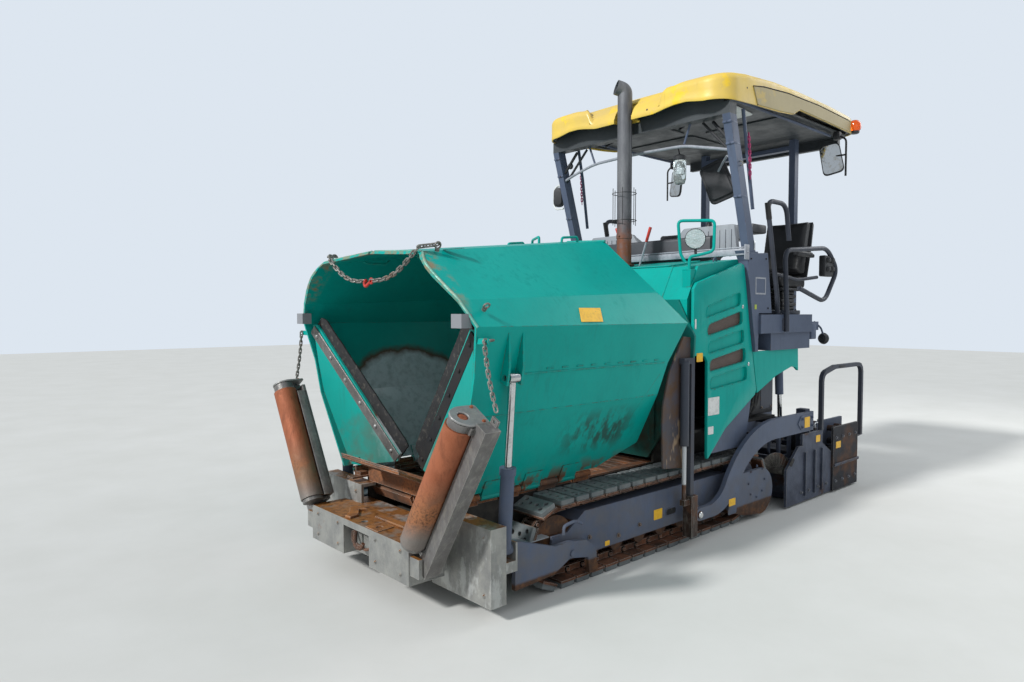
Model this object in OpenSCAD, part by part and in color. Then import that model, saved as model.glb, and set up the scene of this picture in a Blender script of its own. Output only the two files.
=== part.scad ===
// Compact tracked asphalt paver. X points forward, Y to the left, Z up.
// The origin is on the ground, under the middle of the machine.

/* [Overall] */
// Front face of the push rollers
front_x = 2550; // [2450:10:2650]
// Rear face of the screed walkway
rear_x = -2550; // [-2650:10:-2500]
// Plate thickness of the hopper wings
wing_wall = 16; // [10:1:24]
// Gap between parts that move past each other
clearance = 8; // [5:1:12]

/* [Tracks] */
// Half width of the chassis between the tracks
chassis_half = 540; // [520:5:560]
// Gap between the chassis and a track
track_gap = 40; // [30:2:50]
// Width of the track shoes
shoe_w = 260; // [220:10:280]
// Number of shoes in one track
shoe_count = 40; // [34:1:46]
// Thickness of a shoe with its rubber pad
shoe_h = 46; // [36:2:52]
// Height of the chain links under the shoes
link_h = 46; // [36:2:56]
// Width of the chain links
link_w = 110; // [80:5:130]
// Radius of the front idler over the shoes
idler_r = 265; // [240:5:280]
// Middle of the front idler
idler_x = 1600; // [1550:10:1640]
// Radius of the rear sprocket over the shoes
sprocket_r = 240; // [220:5:260]
// Middle of the rear sprocket
sprocket_x = -600; // [-640:10:-560]
// Height of the rear sprocket
sprocket_z = 300; // [280:5:320]

/* [Hopper] */
// Height of the wing hinges
hinge_z = 575; // [560:5:600]
// Widest half width of the hopper
hopper_half = 965; // [940:5:980]
// Floor of the hopper
floor_z = 560; // [540:5:570]
// Diameter of the hinge pins
hinge_d = 44; // [36:2:50]

/* [Push beam] */
// Radius of a push roller
roller_r = 75; // [60:5:80]
// Length of a push roller
roller_l = 780; // [700:10:800]
// Lean of the folded roller from upright
roller_lean = 30.8; // [28:0.2:34]
// Height of the carrier hinges
carrier_z = 290; // [280:5:300]
// Bore of the hitch pin in the beam
hitch_bore = 42; // [30:2:50]

/* [Body] */
// Floor of the driver's platform
platform_z = 1630; // [1600:10:1650]
// Top of the canopy
canopy_z = 3500; // [3400:10:3600]
// Top of the exhaust pipe
exhaust_z = 3540; // [3400:10:3700]
// Outer diameter of the exhaust pipe
exhaust_d = 120; // [90:5:140]

/* [Screed] */
// Height of the screed plate over the ground
screed_gap = 15; // [10:1:30]
// Outer diameter of the spreading augers
auger_d = 300; // [260:10:320]
// Height of the tow point over the ground
tow_z = 206; // [190:2:220]
// Place of the tow point
tow_x = 260; // [240:5:280]

/* [Hidden] */
$fn = 48;

green = "#10a890";
grey = "#5b606e";
rust = "#8a5436";
dark = "#2b2b2e";
yellow = "#e8c84a";
steel = "#9a9a98";

seat_gap = 0.3;

// Places across the machine, from the chassis outwards
track_y = chassis_half + track_gap + shoe_w / 2;
cover_y0 = track_y + shoe_w / 2 + clearance;
cover_wall = 32;
bay_half = cover_y0 + cover_wall;
deck_half = bay_half - 60;
platform_half = bay_half + 40;
roof_half = platform_half + 5;
arm_y0 = bay_half + 5;
arm_y1 = arm_y0 + 35;
screed_half = arm_y1;
hinge_y = chassis_half + 35;
carrier_y = chassis_half + 60;

// Polygon in X and Z, extruded along Y from y0 to y1
module side_profile(points, y0, y1)
    translate([0, y1, 0]) rotate([90, 0, 0]) linear_extrude(y1 - y0) polygon(points);

// Polygon in Y and Z, extruded along X from x0 to x1
module cross_profile(points, x0, x1)
    translate([x0, 0, 0]) rotate([90, 0, 90]) linear_extrude(x1 - x0) polygon(points);

// Box between two corners
module box(low, high) translate(low) cube(high - low);

// Round bar between two points
module bar(from, to, d) {
    v = to - from;
    translate(from) rotate([0, acos(v[2] / norm(v)), atan2(v[1], v[0])]) cylinder(h = norm(v), d = d);
}

function unit(v) = v / norm(v);
// Points of a round corner at p, between a and b
function corner(a, p, b, bend) = let (
        u = unit(p - a),
        v = unit(b - p),
        t = acos(u * v),
        steps = floor(t / 25),
        inward = unit(v - u),
        along = unit(u + v),
        centre = p + inward * bend / cos(t / 2)
    ) steps == 0 ? [p] : [
        for (k = [0 : steps]) let (f = t * (k / steps - 0.5)) centre + bend * (along * sin(f)
            - inward * cos(f))
    ];
function rounded(points, bend) = [
    points[0],
    for (i = [1 : len(points) - 2]) each corner(points[i - 1], points[i], points[i + 1], bend),
    points[len(points) - 1]
];

// Direction of a path at its point i, halfway between its two sides
function path_way(path, i) = unit(
    (i > 0 ? unit(path[i] - path[i - 1]) : [0, 0]) + (i < len(path) - 1 ? unit(path[i + 1] - path[i])
        : [0, 0])
);
// One edge of a band along a path, at the distance w to its left
function path_edge(path, w) = [
    for (i = [0 : len(path) - 1]) let (
        m = path_way(path, i),
        step = i > 0 ? unit(path[i] - path[i - 1]) : m
    ) path[i] + [-m[1], m[0]] * w / (m * step)
];
function band(path, w) = let (left = path_edge(path, w / 2), right = path_edge(path, -w / 2))
    concat(left, [for (i = [len(right) - 1 : -1 : 0]) right[i]]);

// Bent tube in an upright plane of X and Z, at the given Y
module tube_xz(points, y, bend, d) side_profile(band(rounded(points, bend), d), y - d / 2, y + d / 2);
// The same in an upright plane of Y and Z, at the given X
module tube_yz(points, x, bend, d) cross_profile(band(rounded(points, bend), d), x - d / 2, x + d / 2);

// The part below the plane z = point.z + slope_x * dx + slope_y * dy
module below(point, slope_x, slope_y) {
    turn_y = -atan(slope_x);
    translate(point) rotate([atan(slope_y * cos(turn_y)), turn_y, 0])
        translate([-4000, -4000, -3000]) cube([8000, 8000, 3000]);
}

// A left hand shape on its side: 1 for left, -1 for right
module flip(side) {
    if (side > 0) children();
    else mirror([0, 1, 0]) children();
}
module right_side() flip(-1) children();

// Both sides of a shape
module both_sides() {
    children();
    mirror([0, 1, 0]) children();
}

// Arc in the plane, from angle a0 to a1
function arc(cx, cz, r, a0, a1, steps) =
    [for (i = [0 : steps]) let (a = a0 + (a1 - a0) * i / steps) [cx + r * cos(a), cz + r * sin(a)]];

// A closed belt round three wheels: columns x, z, radius under the links
belt_h = shoe_h + link_h;
belt_rear_r = 60;
belt_wheels = [
    [idler_x, idler_r, idler_r - belt_h],
    [sprocket_x, sprocket_z, sprocket_r - belt_h],
    [-330, belt_h + belt_rear_r, belt_rear_r]
];
belt_n = len(belt_wheels);

function wheel(i) = belt_wheels[(i + belt_n) % belt_n];
function gap_length(i) = norm([wheel(i + 1)[0] - wheel(i)[0], wheel(i + 1)[1] - wheel(i)[1]]);
function heading(i) = atan2(wheel(i + 1)[1] - wheel(i)[1], wheel(i + 1)[0] - wheel(i)[0]);
// Outward direction of the straight run that leaves wheel i
function leave_angle(i) = heading(i) - acos((wheel(i)[2] - wheel(i + 1)[2]) / gap_length(i));
function turn_angle(i) = let (t = leave_angle(i) - leave_angle(i - 1)) t - 360 * floor(t / 360);
function run_length(i) = sqrt(pow(gap_length(i), 2) - pow(wheel(i)[2] - wheel(i + 1)[2], 2));
function bend_length(i) = wheel(i)[2] * turn_angle(i) * PI / 180;
function belt_start(i) = i <= 0 ? 0 : belt_start(i - 1) + bend_length(i - 1) + run_length(i - 1);
belt_length = belt_start(belt_n);

// A point of the belt at the way s along it and the height h over its inner face
function belt_point(s, h) = let (
        way = s - belt_length * floor(s / belt_length),
        i = max([for (k = [0 : belt_n - 1]) if (belt_start(k) <= way) k]),
        w = wheel(i),
        rest = way - belt_start(i),
        bent = rest < bend_length(i),
        a = bent ? leave_angle(i - 1) + rest / w[2] * 180 / PI : leave_angle(i),
        run = bent ? 0 : rest - bend_length(i)
    ) [w[0] + (w[2] + h) * cos(a) - run * sin(a), w[1] + (w[2] + h) * sin(a) + run * cos(a)];

pitch = belt_length / shoe_count;
// Radius of a wheel that the straight links run over
link_flat = 0.35;
function wheel_fit(r) = r * cos(link_flat * pitch / r * 180 / PI) - seat_gap;

// Outline of the shoes: each shoe is a flat pad with a groove before the next
function shoe_outline() = [
    for (k = [0 : shoe_count - 1], p = [[0.00, 0.55], [0.05, 1], [0.5, 1], [0.95, 1]])
        belt_point((k + p[0]) * pitch, link_h + shoe_h * p[1])
];
// Outline of the links, with a notch at each joint
function link_outline(h_step) = [
    for (k = [0 : shoe_count - 1], p = [[0.00, 0.3], [0.5 - link_flat, 0], [0.5 + link_flat, 0]])
        belt_point((k + p[0]) * pitch, link_h * p[1] + h_step)
];
function belt_ring(h) = [for (k = [0 : 2 * shoe_count - 1]) belt_point(k * pitch / 2, h)];

module track() {
    color(dark) difference() {
        side_profile(shoe_outline(), track_y - shoe_w / 2, track_y + shoe_w / 2);
        side_profile(belt_ring(link_h), track_y - shoe_w, track_y + shoe_w);
    }
    color(rust) difference() {
        side_profile(belt_ring(link_h + 1), track_y - link_w / 2, track_y + link_w / 2);
        side_profile(link_outline(0), track_y - shoe_w, track_y + shoe_w);
    }
}

// Track frame: side plate, wheels inside the belt, final drive and guards
frame_y = track_y + 90;
roller_row_r = 62;
module track_frame() {
    ground = belt_h + seat_gap;
    inner_top = sprocket_z + sprocket_r - belt_h;
    color(grey) side_profile([
        [idler_x - 120, ground + 50], [idler_x - 50, idler_r + 20], [idler_x - 250, inner_top - 30],
        [sprocket_x + 320, inner_top - 40], [sprocket_x + 200, sprocket_z - 60], [-300, ground + 55],
    ], track_y - 90, frame_y);
    // Idler wheel, with the chain running over it
    color(rust) translate([idler_x, track_y, idler_r]) rotate([90, 0, 0])
        cylinder(h = 130, r = wheel_fit(idler_r - belt_h), center = true);
    color(rust) translate([sprocket_x, track_y, sprocket_z]) rotate([90, 0, 0])
        cylinder(h = 130, r = wheel_fit(sprocket_r - belt_h), center = true);
    // Ground rollers
    color(rust) for (i = [0 : 6]) translate([-180 + i * 240, track_y, ground + roller_row_r])
        rotate([90, 0, 0])
        cylinder(h = 150, r = roller_row_r, center = true);
    // Axle of the idler and its guard
    color(grey) translate([idler_x, track_y, idler_r]) rotate([-90, 0, 0])
        cylinder(h = 92, r = 45);
    color(grey) side_profile([
        [idler_x - 300, idler_r + 50], [idler_x + 40, idler_r + 50], [idler_x + 40, idler_r - 50],
        [idler_x - 300, idler_r - 60],
    ], track_y + 65, frame_y);
}

// Final drive cover outside the sprocket, and the arm that joins it to the chassis
module final_drive() {
    cover_r = 185;
    cx = sprocket_x - 75;
    cz = sprocket_z - 90;
    color(grey) side_profile(concat(
        [[-200, 330], [-330, 395]],
        arc(cx, cz, cover_r, 85, 270, 14),
        [[-420, 60], [-200, 120]]
    ), cover_y0, bay_half);
    color(grey) translate([sprocket_x, track_y, sprocket_z]) rotate([-90, 0, 0])
        cylinder(h = cover_y0 - track_y, r = 90);
}

// Guard in front of the track, with its hook over the shoes
module track_guard() {
    y0 = cover_y0;
    color(grey) side_profile([
        [lug_x0, 390], [1690, 290], [1560, 290], [1420, 270], [1330, 210], [1310, 60],
        [1390, 60], [1400, 160], [1560, 190], [1700, 125], [lug_x0, 110],
    ], y0, y0 + 30);
    color(steel) translate([1543, y0, 215]) rotate([-90, 0, 0]) cylinder(h = 40, d = 40);
}

module track_frame_side() {
    track_frame();
    final_drive();
    track_guard();
    // Brackets that carry the frame on the chassis
    color(grey) for (x = [-60, 1000])
        box([x, chassis_half, 180], [x + 160, track_y - 90, 400]);
}

// Chassis: a trough for the conveyors with a deck over it
chassis_wall = 20;
chassis_front = 2090;
chassis_rear = -1000;
deck_z = 790;
wall_x = 298;
module chassis() color(grey) {
    both_sides() side_profile([
        [chassis_rear, 460], [chassis_rear, deck_z], [wall_x, deck_z], [wall_x, floor_z - 30],
        [chassis_front, floor_z - 30], [chassis_front, 180], [-300, 180],
    ], chassis_half - chassis_wall, chassis_half);
    box([chassis_rear, -chassis_half, deck_z], [wall_x, chassis_half, deck_z + 20]);
    box([-900, -chassis_half + chassis_wall, 300], [chassis_front, chassis_half - chassis_wall, 320]);
    // Rear cross wall under the platform, open over the conveyors
    box([chassis_rear - 20, -chassis_half, deck_z - 80], [chassis_rear, chassis_half, 1200]);
    // Side decks over the tracks
    both_sides() box([chassis_rear, chassis_half, deck_z - 20], [wall_x, deck_half, deck_z]);
    both_sides() box([wall_x - 30, chassis_half, 590], [wall_x, deck_half, deck_z - 20]);
}

// Hopper floor: two side plates with the hinge knuckles, a middle ridge and the front plate
floor_front = 2240;
floor_rear = 400;
knuckle_l = 150;
knuckle_x0 = 1060;
hinge_rod_d = 18;
// Starts of every second knuckle
function knuckle_starts(first) = [for (x = [first : 2 * (knuckle_l + 10) : floor_front - knuckle_l - 40]) x];
module knuckles(first) {
    for (x = knuckle_starts(first))
        translate([x, hinge_y, hinge_z]) rotate([0, 90, 0]) cylinder(h = knuckle_l, d = hinge_d);
}
module hinge_bore() {
    translate([0, hinge_y, hinge_z]) rotate([0, 90, 0])
        cylinder(h = floor_front + 500, d = hinge_rod_d + 2 * seat_gap);
}
ridge_half = 25;
flap_half = 330;
module hopper_floor() {
    color(rust) both_sides() {
        box([floor_rear, chassis_half - 60, floor_z - 30],
            [floor_front, hinge_y - hinge_d / 2 - 2, floor_z - 18]);
        difference() {
            knuckles(knuckle_x0);
            hinge_bore();
        }
        for (x = knuckle_starts(knuckle_x0))
            box([x, hinge_y - 75, floor_z - 30], [x + knuckle_l, hinge_y, hinge_z - 10]);
    }
    // Ridge between the conveyors, and the cross plate in front of them
    color(rust) box([chassis_rear, -ridge_half, 500], [chassis_front + 10, ridge_half, floor_z - 15]);
    color(rust) box([chassis_front + 5, 55 - chassis_half, 505],
        [chassis_front + 25, chassis_half - 55, 630]);
    // Worn flap that leads the mix over the beam
    color(rust) side_profile([
        [chassis_front + 25, 612], [2165, 612], [2400, 725], [2400, 742], [2150, 630],
        [chassis_front + 25, 630],
    ], -flap_half, flap_half);
}

// Slat conveyors in the trough
conveyor_rear = -880;
module conveyor(side) flip(side) {
    inner = ridge_half + 10;
    outer = chassis_half - chassis_wall - 15;
    front = chassis_front - 10;
    color(dark) side_profile([
        [conveyor_rear, 460], [conveyor_rear + 30, 500], [front - 30, 500], [front, 460],
        [front - 30, 400], [conveyor_rear + 30, 400],
    ], inner, outer);
    color(steel) for (x = [conveyor_rear + 100 : 165 : front - 100])
        box([x, inner, 500], [x + 30, outer, 520]);
    // Shafts in the side plates
    for (x = [conveyor_rear + 50, front - 50])
        translate([x, ridge_half + seat_gap, 450]) rotate([-90, 0, 0])
            cylinder(h = chassis_half - chassis_wall - ridge_half - 2 * seat_gap, d = 60);
}

// Fixed walls behind the hopper
module hopper_rear_wall() {
    color(dark) cross_profile([
        [40 - chassis_half, floor_z], [chassis_half - 40, floor_z], [deck_half - 40, 1090],
        [deck_half + 10, 1310],
        [deck_half + 20, 1480], [deck_half - 120, 1740], [120 - deck_half, 1740], [-deck_half - 20, 1480],
        [-deck_half - 10, 1310], [40 - deck_half, 1090],
    ], wall_x, wall_x + 20);
    // Lugs of the side doors
    color(dark) both_sides() for (z = door_lugs) {
        box([door_hinge_x - 20, door_hinge_y - 76, z],
            [door_hinge_x, door_hinge_y - seat_gap, z + door_lug_l]);
        translate([door_hinge_x, door_hinge_y, z]) cylinder(h = door_lug_l, r = door_knuckle_r);
    }
    color(steel) both_sides() translate([door_hinge_x, door_hinge_y, door_lugs[0]])
        cylinder(h = door_lugs[1] + door_lug_l - door_lugs[0], r = door_pin_r);
    // Cheek plates beside the track
    color(dark) both_sides() side_profile([
        [wall_x + 5, 1470], [wall_x + 5, 545], [800, 600], [700, 860], [560, 1240], [400, 1480],
    ], cheek_y1 - 16, cheek_y1);
}
cheek_y1 = bay_half - 74;

// Push beam with its hitch, the lugs of the roller carriers and the outer plates
beam_front = front_x - 60;
beam_half = chassis_half + 20;
beam_top = 390;
plate_x = 2220;
plate_out = hopper_half - 40;
module push_beam() {
    color(steel) difference() {
        union() {
            box([2250, -beam_half, 170], [beam_front, beam_half, beam_top]);
            box([chassis_front, -chassis_half, 190], [2260, chassis_half, 380]);
        }
        // Notch for the hook under the top plate
        box([2400, -150, 160], [beam_front + 10, 150, 350]);
        translate([beam_front - 60, 0, 340]) cylinder(h = 100, d = hitch_bore);
        // Hollow under the beam
        box([2270, -beam_half + 20, 160], [beam_front - 110, beam_half - 20, 370]);
    }
    // Lugs of the carriers
    color(steel) both_sides() {
        for (x = [carrier_x0 - 30, carrier_x0 + 106])
            box([x, beam_half, carrier_z - 60], [x + 24, carrier_y + 45, carrier_z + 45]);
        translate([carrier_x0 - 10, carrier_y, carrier_z]) rotate([0, 90, 0]) cylinder(h = 120,
            d = 30 - 2 * seat_gap);
    }
    // Outer plates, folded back at the rim
    color(steel) both_sides() difference() {
        box([2110, 400, 80], [plate_x, plate_out, 505]);
        box([2100, 390, 100], [plate_x - 18, plate_out - 18, 485]);
    }
    // Lugs of the wing cylinders, on a foot behind the outer plate
    color(grey) both_sides() {
        for (x = [lug_x0, cyl_x + 48])
            box([x, cyl_foot[0] - 45, cyl_foot[1] - 60], [x + 12, cyl_foot[0] + 45, cyl_foot[1] + 40]);
        box(
            [lug_x0, min(cyl_foot[0] - 45, cover_y0 - 43), 230],
            [plate_x - 18, max(cyl_foot[0] + 45, cover_y0 + 47), cyl_foot[1] - 60]
        );
        translate([lug_x0, cyl_foot[0], cyl_foot[1]]) rotate([0, 90, 0]) cylinder(h = 120,
            d = cyl_pin - 2 * seat_gap);
    }
}
// Roller carrier in its folded place; it swings out about a pin along X
carrier_x0 = front_x - 198;
roller_x = front_x - roller_r;
roller_low = 110;
module carrier_frame(side) {
    flip(side) translate([0, carrier_y, carrier_z]) rotate([-roller_lean, 0, 0]) children();
}
roller_off = 78;
carrier_w = 100;
carrier_end = roller_low + roller_l + 70;
module roller_carrier(side) color(steel) carrier_frame(side) {
    // Channel behind the roller, open towards the rear
    difference() {
        union() {
            box([carrier_x0, 2, -25], [carrier_x0 + carrier_w, 80, carrier_end]);
            box([carrier_x0, -18, -25], [carrier_x0 + carrier_w, 20, roller_low - 30]);
        }
        box([carrier_x0 - 5, 14, roller_low], [carrier_x0 + carrier_w - 12, 68, carrier_end - 30]);
        translate([carrier_x0 - 20, 0, 0]) rotate([0, 90, 0]) cylinder(h = 140, d = 30);
    }
    // End brackets of the roller
    for (e = [[roller_low - 24, 20], [roller_low + roller_l + 4, 40]]) difference() {
        union() {
            box([carrier_x0, -roller_off, e[0]], [roller_x, 10, e[0] + e[1]]);
            translate([roller_x, -roller_off, e[0]]) cylinder(h = e[1], r = roller_r - 8);
        }
        translate([roller_x, -roller_off, e[0] - 5]) cylinder(h = e[1] + 10, d = 36);
    }
    // Ear of the hold chain
    difference() {
        box([carrier_x0, 2, carrier_end], [carrier_x0 + 14, 52, carrier_end + 34]);
        translate([carrier_x0 - 5, 27, carrier_end + 17]) rotate([0, 90, 0]) cylinder(h = 30, d = 20);
    }
}

module push_roller(side) carrier_frame(side) {
    color(rust) translate([roller_x, -roller_off, roller_low]) cylinder(h = roller_l, r = roller_r);
    color(steel) translate([roller_x, -roller_off, roller_low - 22]) cylinder(h = roller_l + 44,
        d = 36 - 2 * seat_gap);
}

// Hopper wing: columns y, z of its bends from the hinge up
wing_bends = [
    [hinge_y + 5, hinge_z], [hopper_half - 135, 1090], [hopper_half - 75, 1310], [hopper_half, 1575],
];
bevel = 0.712;
slope_y = -0.854;
slope_x = -0.016;
top_slope_y = -0.06;
top_slope_x = -0.1;
bend_front = [2389, hopper_half - 109, 1721];
ridge_front = [2390, 555, 1978];
ridge_gap = 12;
module wing_volume(inset) {
    high = 2600;
    intersection() {
        cross_profile(concat(
            [[ridge_gap, hinge_z], [wing_bends[0][0] - inset * 1.1, hinge_z]],
            [for (i = [1 : 3]) [wing_bends[i][0] - inset, wing_bends[i][1] - inset * 0.2]],
            [[hopper_half - bevel * (high - 1575) - inset * 1.2, high], [ridge_gap, high]]
        ), 300, 2500);
        below(bend_front - [0, 0, inset * 1.3], slope_x, slope_y);
        below(ridge_front - [0, 0, inset], top_slope_x, top_slope_y);
    }
}
// Outline of the wing from the side: columns x, z, front edge first
wing_front = [[2245, hinge_z + 30], [2250, hinge_z + 80], [2288, 1090], [2298, 1310], [2345, 1575],
    [2389, 1721],
    [2425, 1830], [2430, 1880], [2420, 1936], [2393, 1978], [2370, 2030], [2360, 2300]];
wing_rear = [[620, 2300], [680, 2160], [650, 1790], [500, 1575], [618, 1310], [794, 1090],
    [1000, hinge_z + 30]];
module wing() {
    color(green) intersection() {
        difference() {
            wing_volume(0);
            translate([0, -1, 0]) wing_volume(wing_wall);
        }
        side_profile(concat(wing_front, wing_rear), 0, 1200);
    }
    // Hinge knuckles and the strap that joins them to the plate
    color(green) difference() {
        union() {
            knuckles(knuckle_x0 + knuckle_l + 10);
            for (x = knuckle_starts(knuckle_x0 + knuckle_l + 10))
                cross_profile([
                    [hinge_y - 12, hinge_z + 14], [hinge_y + 22, hinge_z + 100],
                    [hinge_y + 60, hinge_z + 100],
                    [hinge_y + 18, hinge_z],
                ], x, x + knuckle_l);
        }
        hinge_bore();
    }
    color(steel) translate([knuckle_x0, hinge_y, hinge_z]) rotate([0, 90, 0])
        cylinder(h = floor_front - knuckle_x0 - 60, d = hinge_rod_d);
    // Ribs that hold the rod's eye
    color(green) for (x = [cyl_x - 57, cyl_x + 43]) difference() {
        cross_profile([
            [cyl_head[0] - 45, cyl_head[1] - 20], [cyl_head[0] + 20, cyl_head[1] - 42],
            [hopper_half - 8, cyl_head[1] + 60], [hopper_half - 8, 1545], [hopper_half - 60, 1400],
        ], x, x + 14);
        translate([x - 5, cyl_head[0], cyl_head[1]]) rotate([0, 90, 0]) cylinder(h = 30,
            d = cyl_pin + 2 * seat_gap);
    }
    // Apron plate that closes the front
    color(green) intersection() {
        apron_slab(0, 14);
        cross_profile([
            [hinge_y + 25, 611], [hopper_half - 150, 1080], [hopper_half - 105, 1300],
            [hopper_half - 70, 1560],
            [hopper_half - 115, 1560], [105, 742], [130, 690], [hinge_y - 75, 615],
        ], 2000, 2500);
    }
    // Steel block in the top corner
    color(steel) box([2345, hopper_half - 125, 1568], [2410, hopper_half - 40, 1640]);
}
// Flat plate in the plane of the apron, from depth d0 to d1 behind its front face
module apron_slab(d0, d1) translate([2196, 580, 580]) rotate([0, 2.6, -11.4]) box([-d1, -900, -300],
    [-d0, 900, 1300]);

apron_low = [100, 735];
apron_high = [hopper_half - 97, 1560];
module apron_band(out, inn) {
    along = (apron_high - apron_low) / norm(apron_high - apron_low);
    across = [-along[1], along[0]];
    cross_profile([
        apron_low + across * out, apron_high + across * out, apron_high + across * inn,
            apron_low + across * inn,
    ], 2000, 2500);
}
module apron_seal() {
    color(steel) intersection() {
        apron_slab(-12 - seat_gap, -seat_gap);
        apron_band(-80, -5);
    }
    color(dark) intersection() {
        apron_slab(14 + seat_gap, 30);
        apron_band(-60, 60);
    }
}

// Wing cylinders: foot and head in Y and Z
cyl_x = 2062;
lug_x0 = cyl_x - 60;
cyl_foot = [hopper_half - 115, 350];
cyl_head = [hopper_half - 45, 1300];
cyl_pin = 32;
barrel_len = 460;
module cylinder_frame(side) {
    v = cyl_head - cyl_foot;
    flip(side) translate([cyl_x, cyl_foot[0], cyl_foot[1]]) rotate([-atan2(v[0], v[1]), 0, 0]) children();
}
cyl_len = norm(cyl_head - cyl_foot);
module wing_barrel(side) color(grey) cylinder_frame(side) difference() {
    union() {
        translate([-40, 0, 0]) rotate([0, 90, 0]) cylinder(h = 80, d = 70);
        translate([0, 0, 10]) cylinder(h = barrel_len - 10, d = 78);
        translate([0, 0, barrel_len - 40]) cylinder(h = 40, d = 92);
    }
    translate([-50, 0, 0]) rotate([0, 90, 0]) cylinder(h = 100, d = cyl_pin);
    translate([0, 0, 60]) cylinder(h = barrel_len, d = 42 + 2 * seat_gap);
}
module wing_rod(side) color(steel) cylinder_frame(side) difference() {
    union() {
        translate([0, 0, barrel_len - 30]) cylinder(h = cyl_len - barrel_len + 5, d = 42);
        translate([-35, 0, cyl_len]) rotate([0, 90, 0]) cylinder(h = 70, d = 60);
    }
    translate([-50, 0, cyl_len]) rotate([0, 90, 0]) cylinder(h = 100, d = cyl_pin);
}

// Chain of flat links between two points
module hold_chain(side) color(steel) flip(side) {
    chain_top = [chain_x, hopper_half + 50, 1500];
    chain_low = [chain_x, carrier_y + 505, 1165];
    links = 8;
    step = (chain_low - chain_top) / links;
    for (i = [0 : links - 1]) {
        p = chain_top + step * i;
        bar(p, p + step * 1.1, i % 2 == 0 ? 16 : 12);
    }
    cross_profile([
        [wing_side(1488), 1488], [hopper_half + 65, 1488], [hopper_half + 65, 1518], [wing_side(1518), 1518],
    ], chain_x - 26, chain_x - 10);
    bar(chain_top - [18, 0, 0], chain_top + step * 0.2, 14);
}
chain_x = carrier_x0 - 16;
// Y of the wing's upper side at the height z
function wing_side(z) = let (a = wing_bends[2], b = wing_bends[3])
    a[0] + (b[0] - a[0]) * (z - a[1]) / (b[1] - a[1]) + seat_gap;

// Engine bay
module engine_block() color(dark) box([-290, -430, deck_z + 20], [160, 430, engine_top]);
engine_top = 1700;

hood_half = deck_half;
hood_rear = -400;
light_x = 215;
light_y = hood_half - 40;
light_foot_z = 1950;
module hood() color(green) difference() {
    union() {
        // Sloping nose and flat top, one shell over the engine
        difference() {
            side_profile([[wall_x, 1500], [wall_x, 1740], [160, 1985], [hood_rear, 2060], [hood_rear, 1500]],
                -hood_half, hood_half);
            side_profile([[wall_x - 18, 1490], [wall_x - 18, 1735], [150, 1967], [hood_rear + 18, 2042],
                [hood_rear + 18, 1490]],
                -hood_half + 20, hood_half - 20);
        }
        // Flat pads under the work lights
        both_sides() box([light_x - 35, light_y - 35, 1830], [light_x + 35, light_y + 35, light_foot_z]);
    }
    translate([exhaust_x, 0, 1800]) cylinder(h = 400, d = exhaust_d + 6);
}
exhaust_x = -10;

// Side door: outline in X and Z, front edge first
door_points = [[300, 1340], [300, 1847], [-369, 2033], [-472, 1510], [-578, 1009], [-114, 766],
    [111, 565], [120, 1300]];
door_hinge_x = 300;
door_wall = 24;
door_hinge_y = bay_half - door_wall;
door_lugs = [1350, 1440];
door_lug_l = 40;
door_knuckle_r = 9;
door_pin_r = 5;
module side_door(side) flip(side) color(green) {
    difference() {
        union() {
            side_profile(door_points, bay_half - door_wall, bay_half);
            translate([door_hinge_x, door_hinge_y, door_lugs[0] + door_lug_l + seat_gap])
                cylinder(h = door_lugs[1] - door_lugs[0] - door_lug_l - 2 * seat_gap, r = door_knuckle_r);
        }
        // Room for the lugs and the hinge pin
        for (z = door_lugs) translate([door_hinge_x, door_hinge_y, z - seat_gap])
            cylinder(h = door_lug_l + 2 * seat_gap, r = door_knuckle_r + seat_gap);
        translate([door_hinge_x, door_hinge_y, door_lugs[0]]) cylinder(h = 200, r = door_pin_r + seat_gap);
        // Two open slots
        for (i = [1, 3]) slot(i, bay_half - 40, bay_half + 10);
        // Recessed slots
        for (i = [0, 2, 4]) slot(i, bay_half - 12, bay_half + 10);
    }
}
// Slots from the top down, each a little shorter towards the front
module slot(i, y0, y1) {
    z = 1650 - i * 130;
    front = 190 - i * 25;
    side_profile([
        [front, z], [front - 20, z + 50], [-260 - i * 28, z + 110], [-285 - i * 28, z + 60],
        [-260 - i * 28, z],
    ], y0, y1);
}

// Green panels under the platform's sides
module rear_panels() color(green) both_sides() side_profile([
    [-520, panel_top], [-1270, panel_top], [-1280, 1150], [-1230, 1180], [-1160, 1190], [-900, 1130],
    [-592, 1010],
], bay_half - 20, bay_half);
panel_top = 1340;

// Grey columns behind the doors, and the grey panels under them on the edge of the side deck
column_top = 2120;
module side_columns() color(grey) both_sides() {
    side_profile([[40, 600], [-110, 745], [-570, 990], [-480, 600]], deck_half, deck_half + 24);
    side_profile([
        [-330, column_top], [-540, column_top], [-560, platform_z + 10], [-560, panel_top], [-520, panel_top],
        [-485, 1510], [-384, 2040],
    ], deck_half, bay_half + 20);
}

// Tank behind the engine bay, under the platform
module fuel_tank() color(dark) box([-950, -chassis_half - 15, deck_z + 20],
    [-600, chassis_half + 15, platform_low]);
platform_low = 1480;

module platform() color(grey) {
    box([-1440, -platform_half, platform_low], [-565, platform_half, platform_z]);
    box([-570, 30 - deck_half, platform_low], [hood_rear - 20, deck_half - 30, platform_z]);
    box([rear_post_x - 100, 220 - platform_half, platform_low],
        [-1440, platform_half - 220, platform_z - 70]);
    both_sides() box([-1440, platform_half - 360, panel_top], [-760, platform_half - 20, platform_low]);
    // Lugs and pins of the screed lift cylinders
    both_sides() {
        for (y = [lift_y - 50, lift_y + 34]) box([lift_x - 45, y, lift_top - 35],
            [lift_x + 45, y + 16, panel_top]);
        translate([lift_x, lift_y - 40, lift_top]) rotate([-90, 0, 0]) cylinder(h = 80,
            d = 32 - 2 * seat_gap);
    }
}

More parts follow.
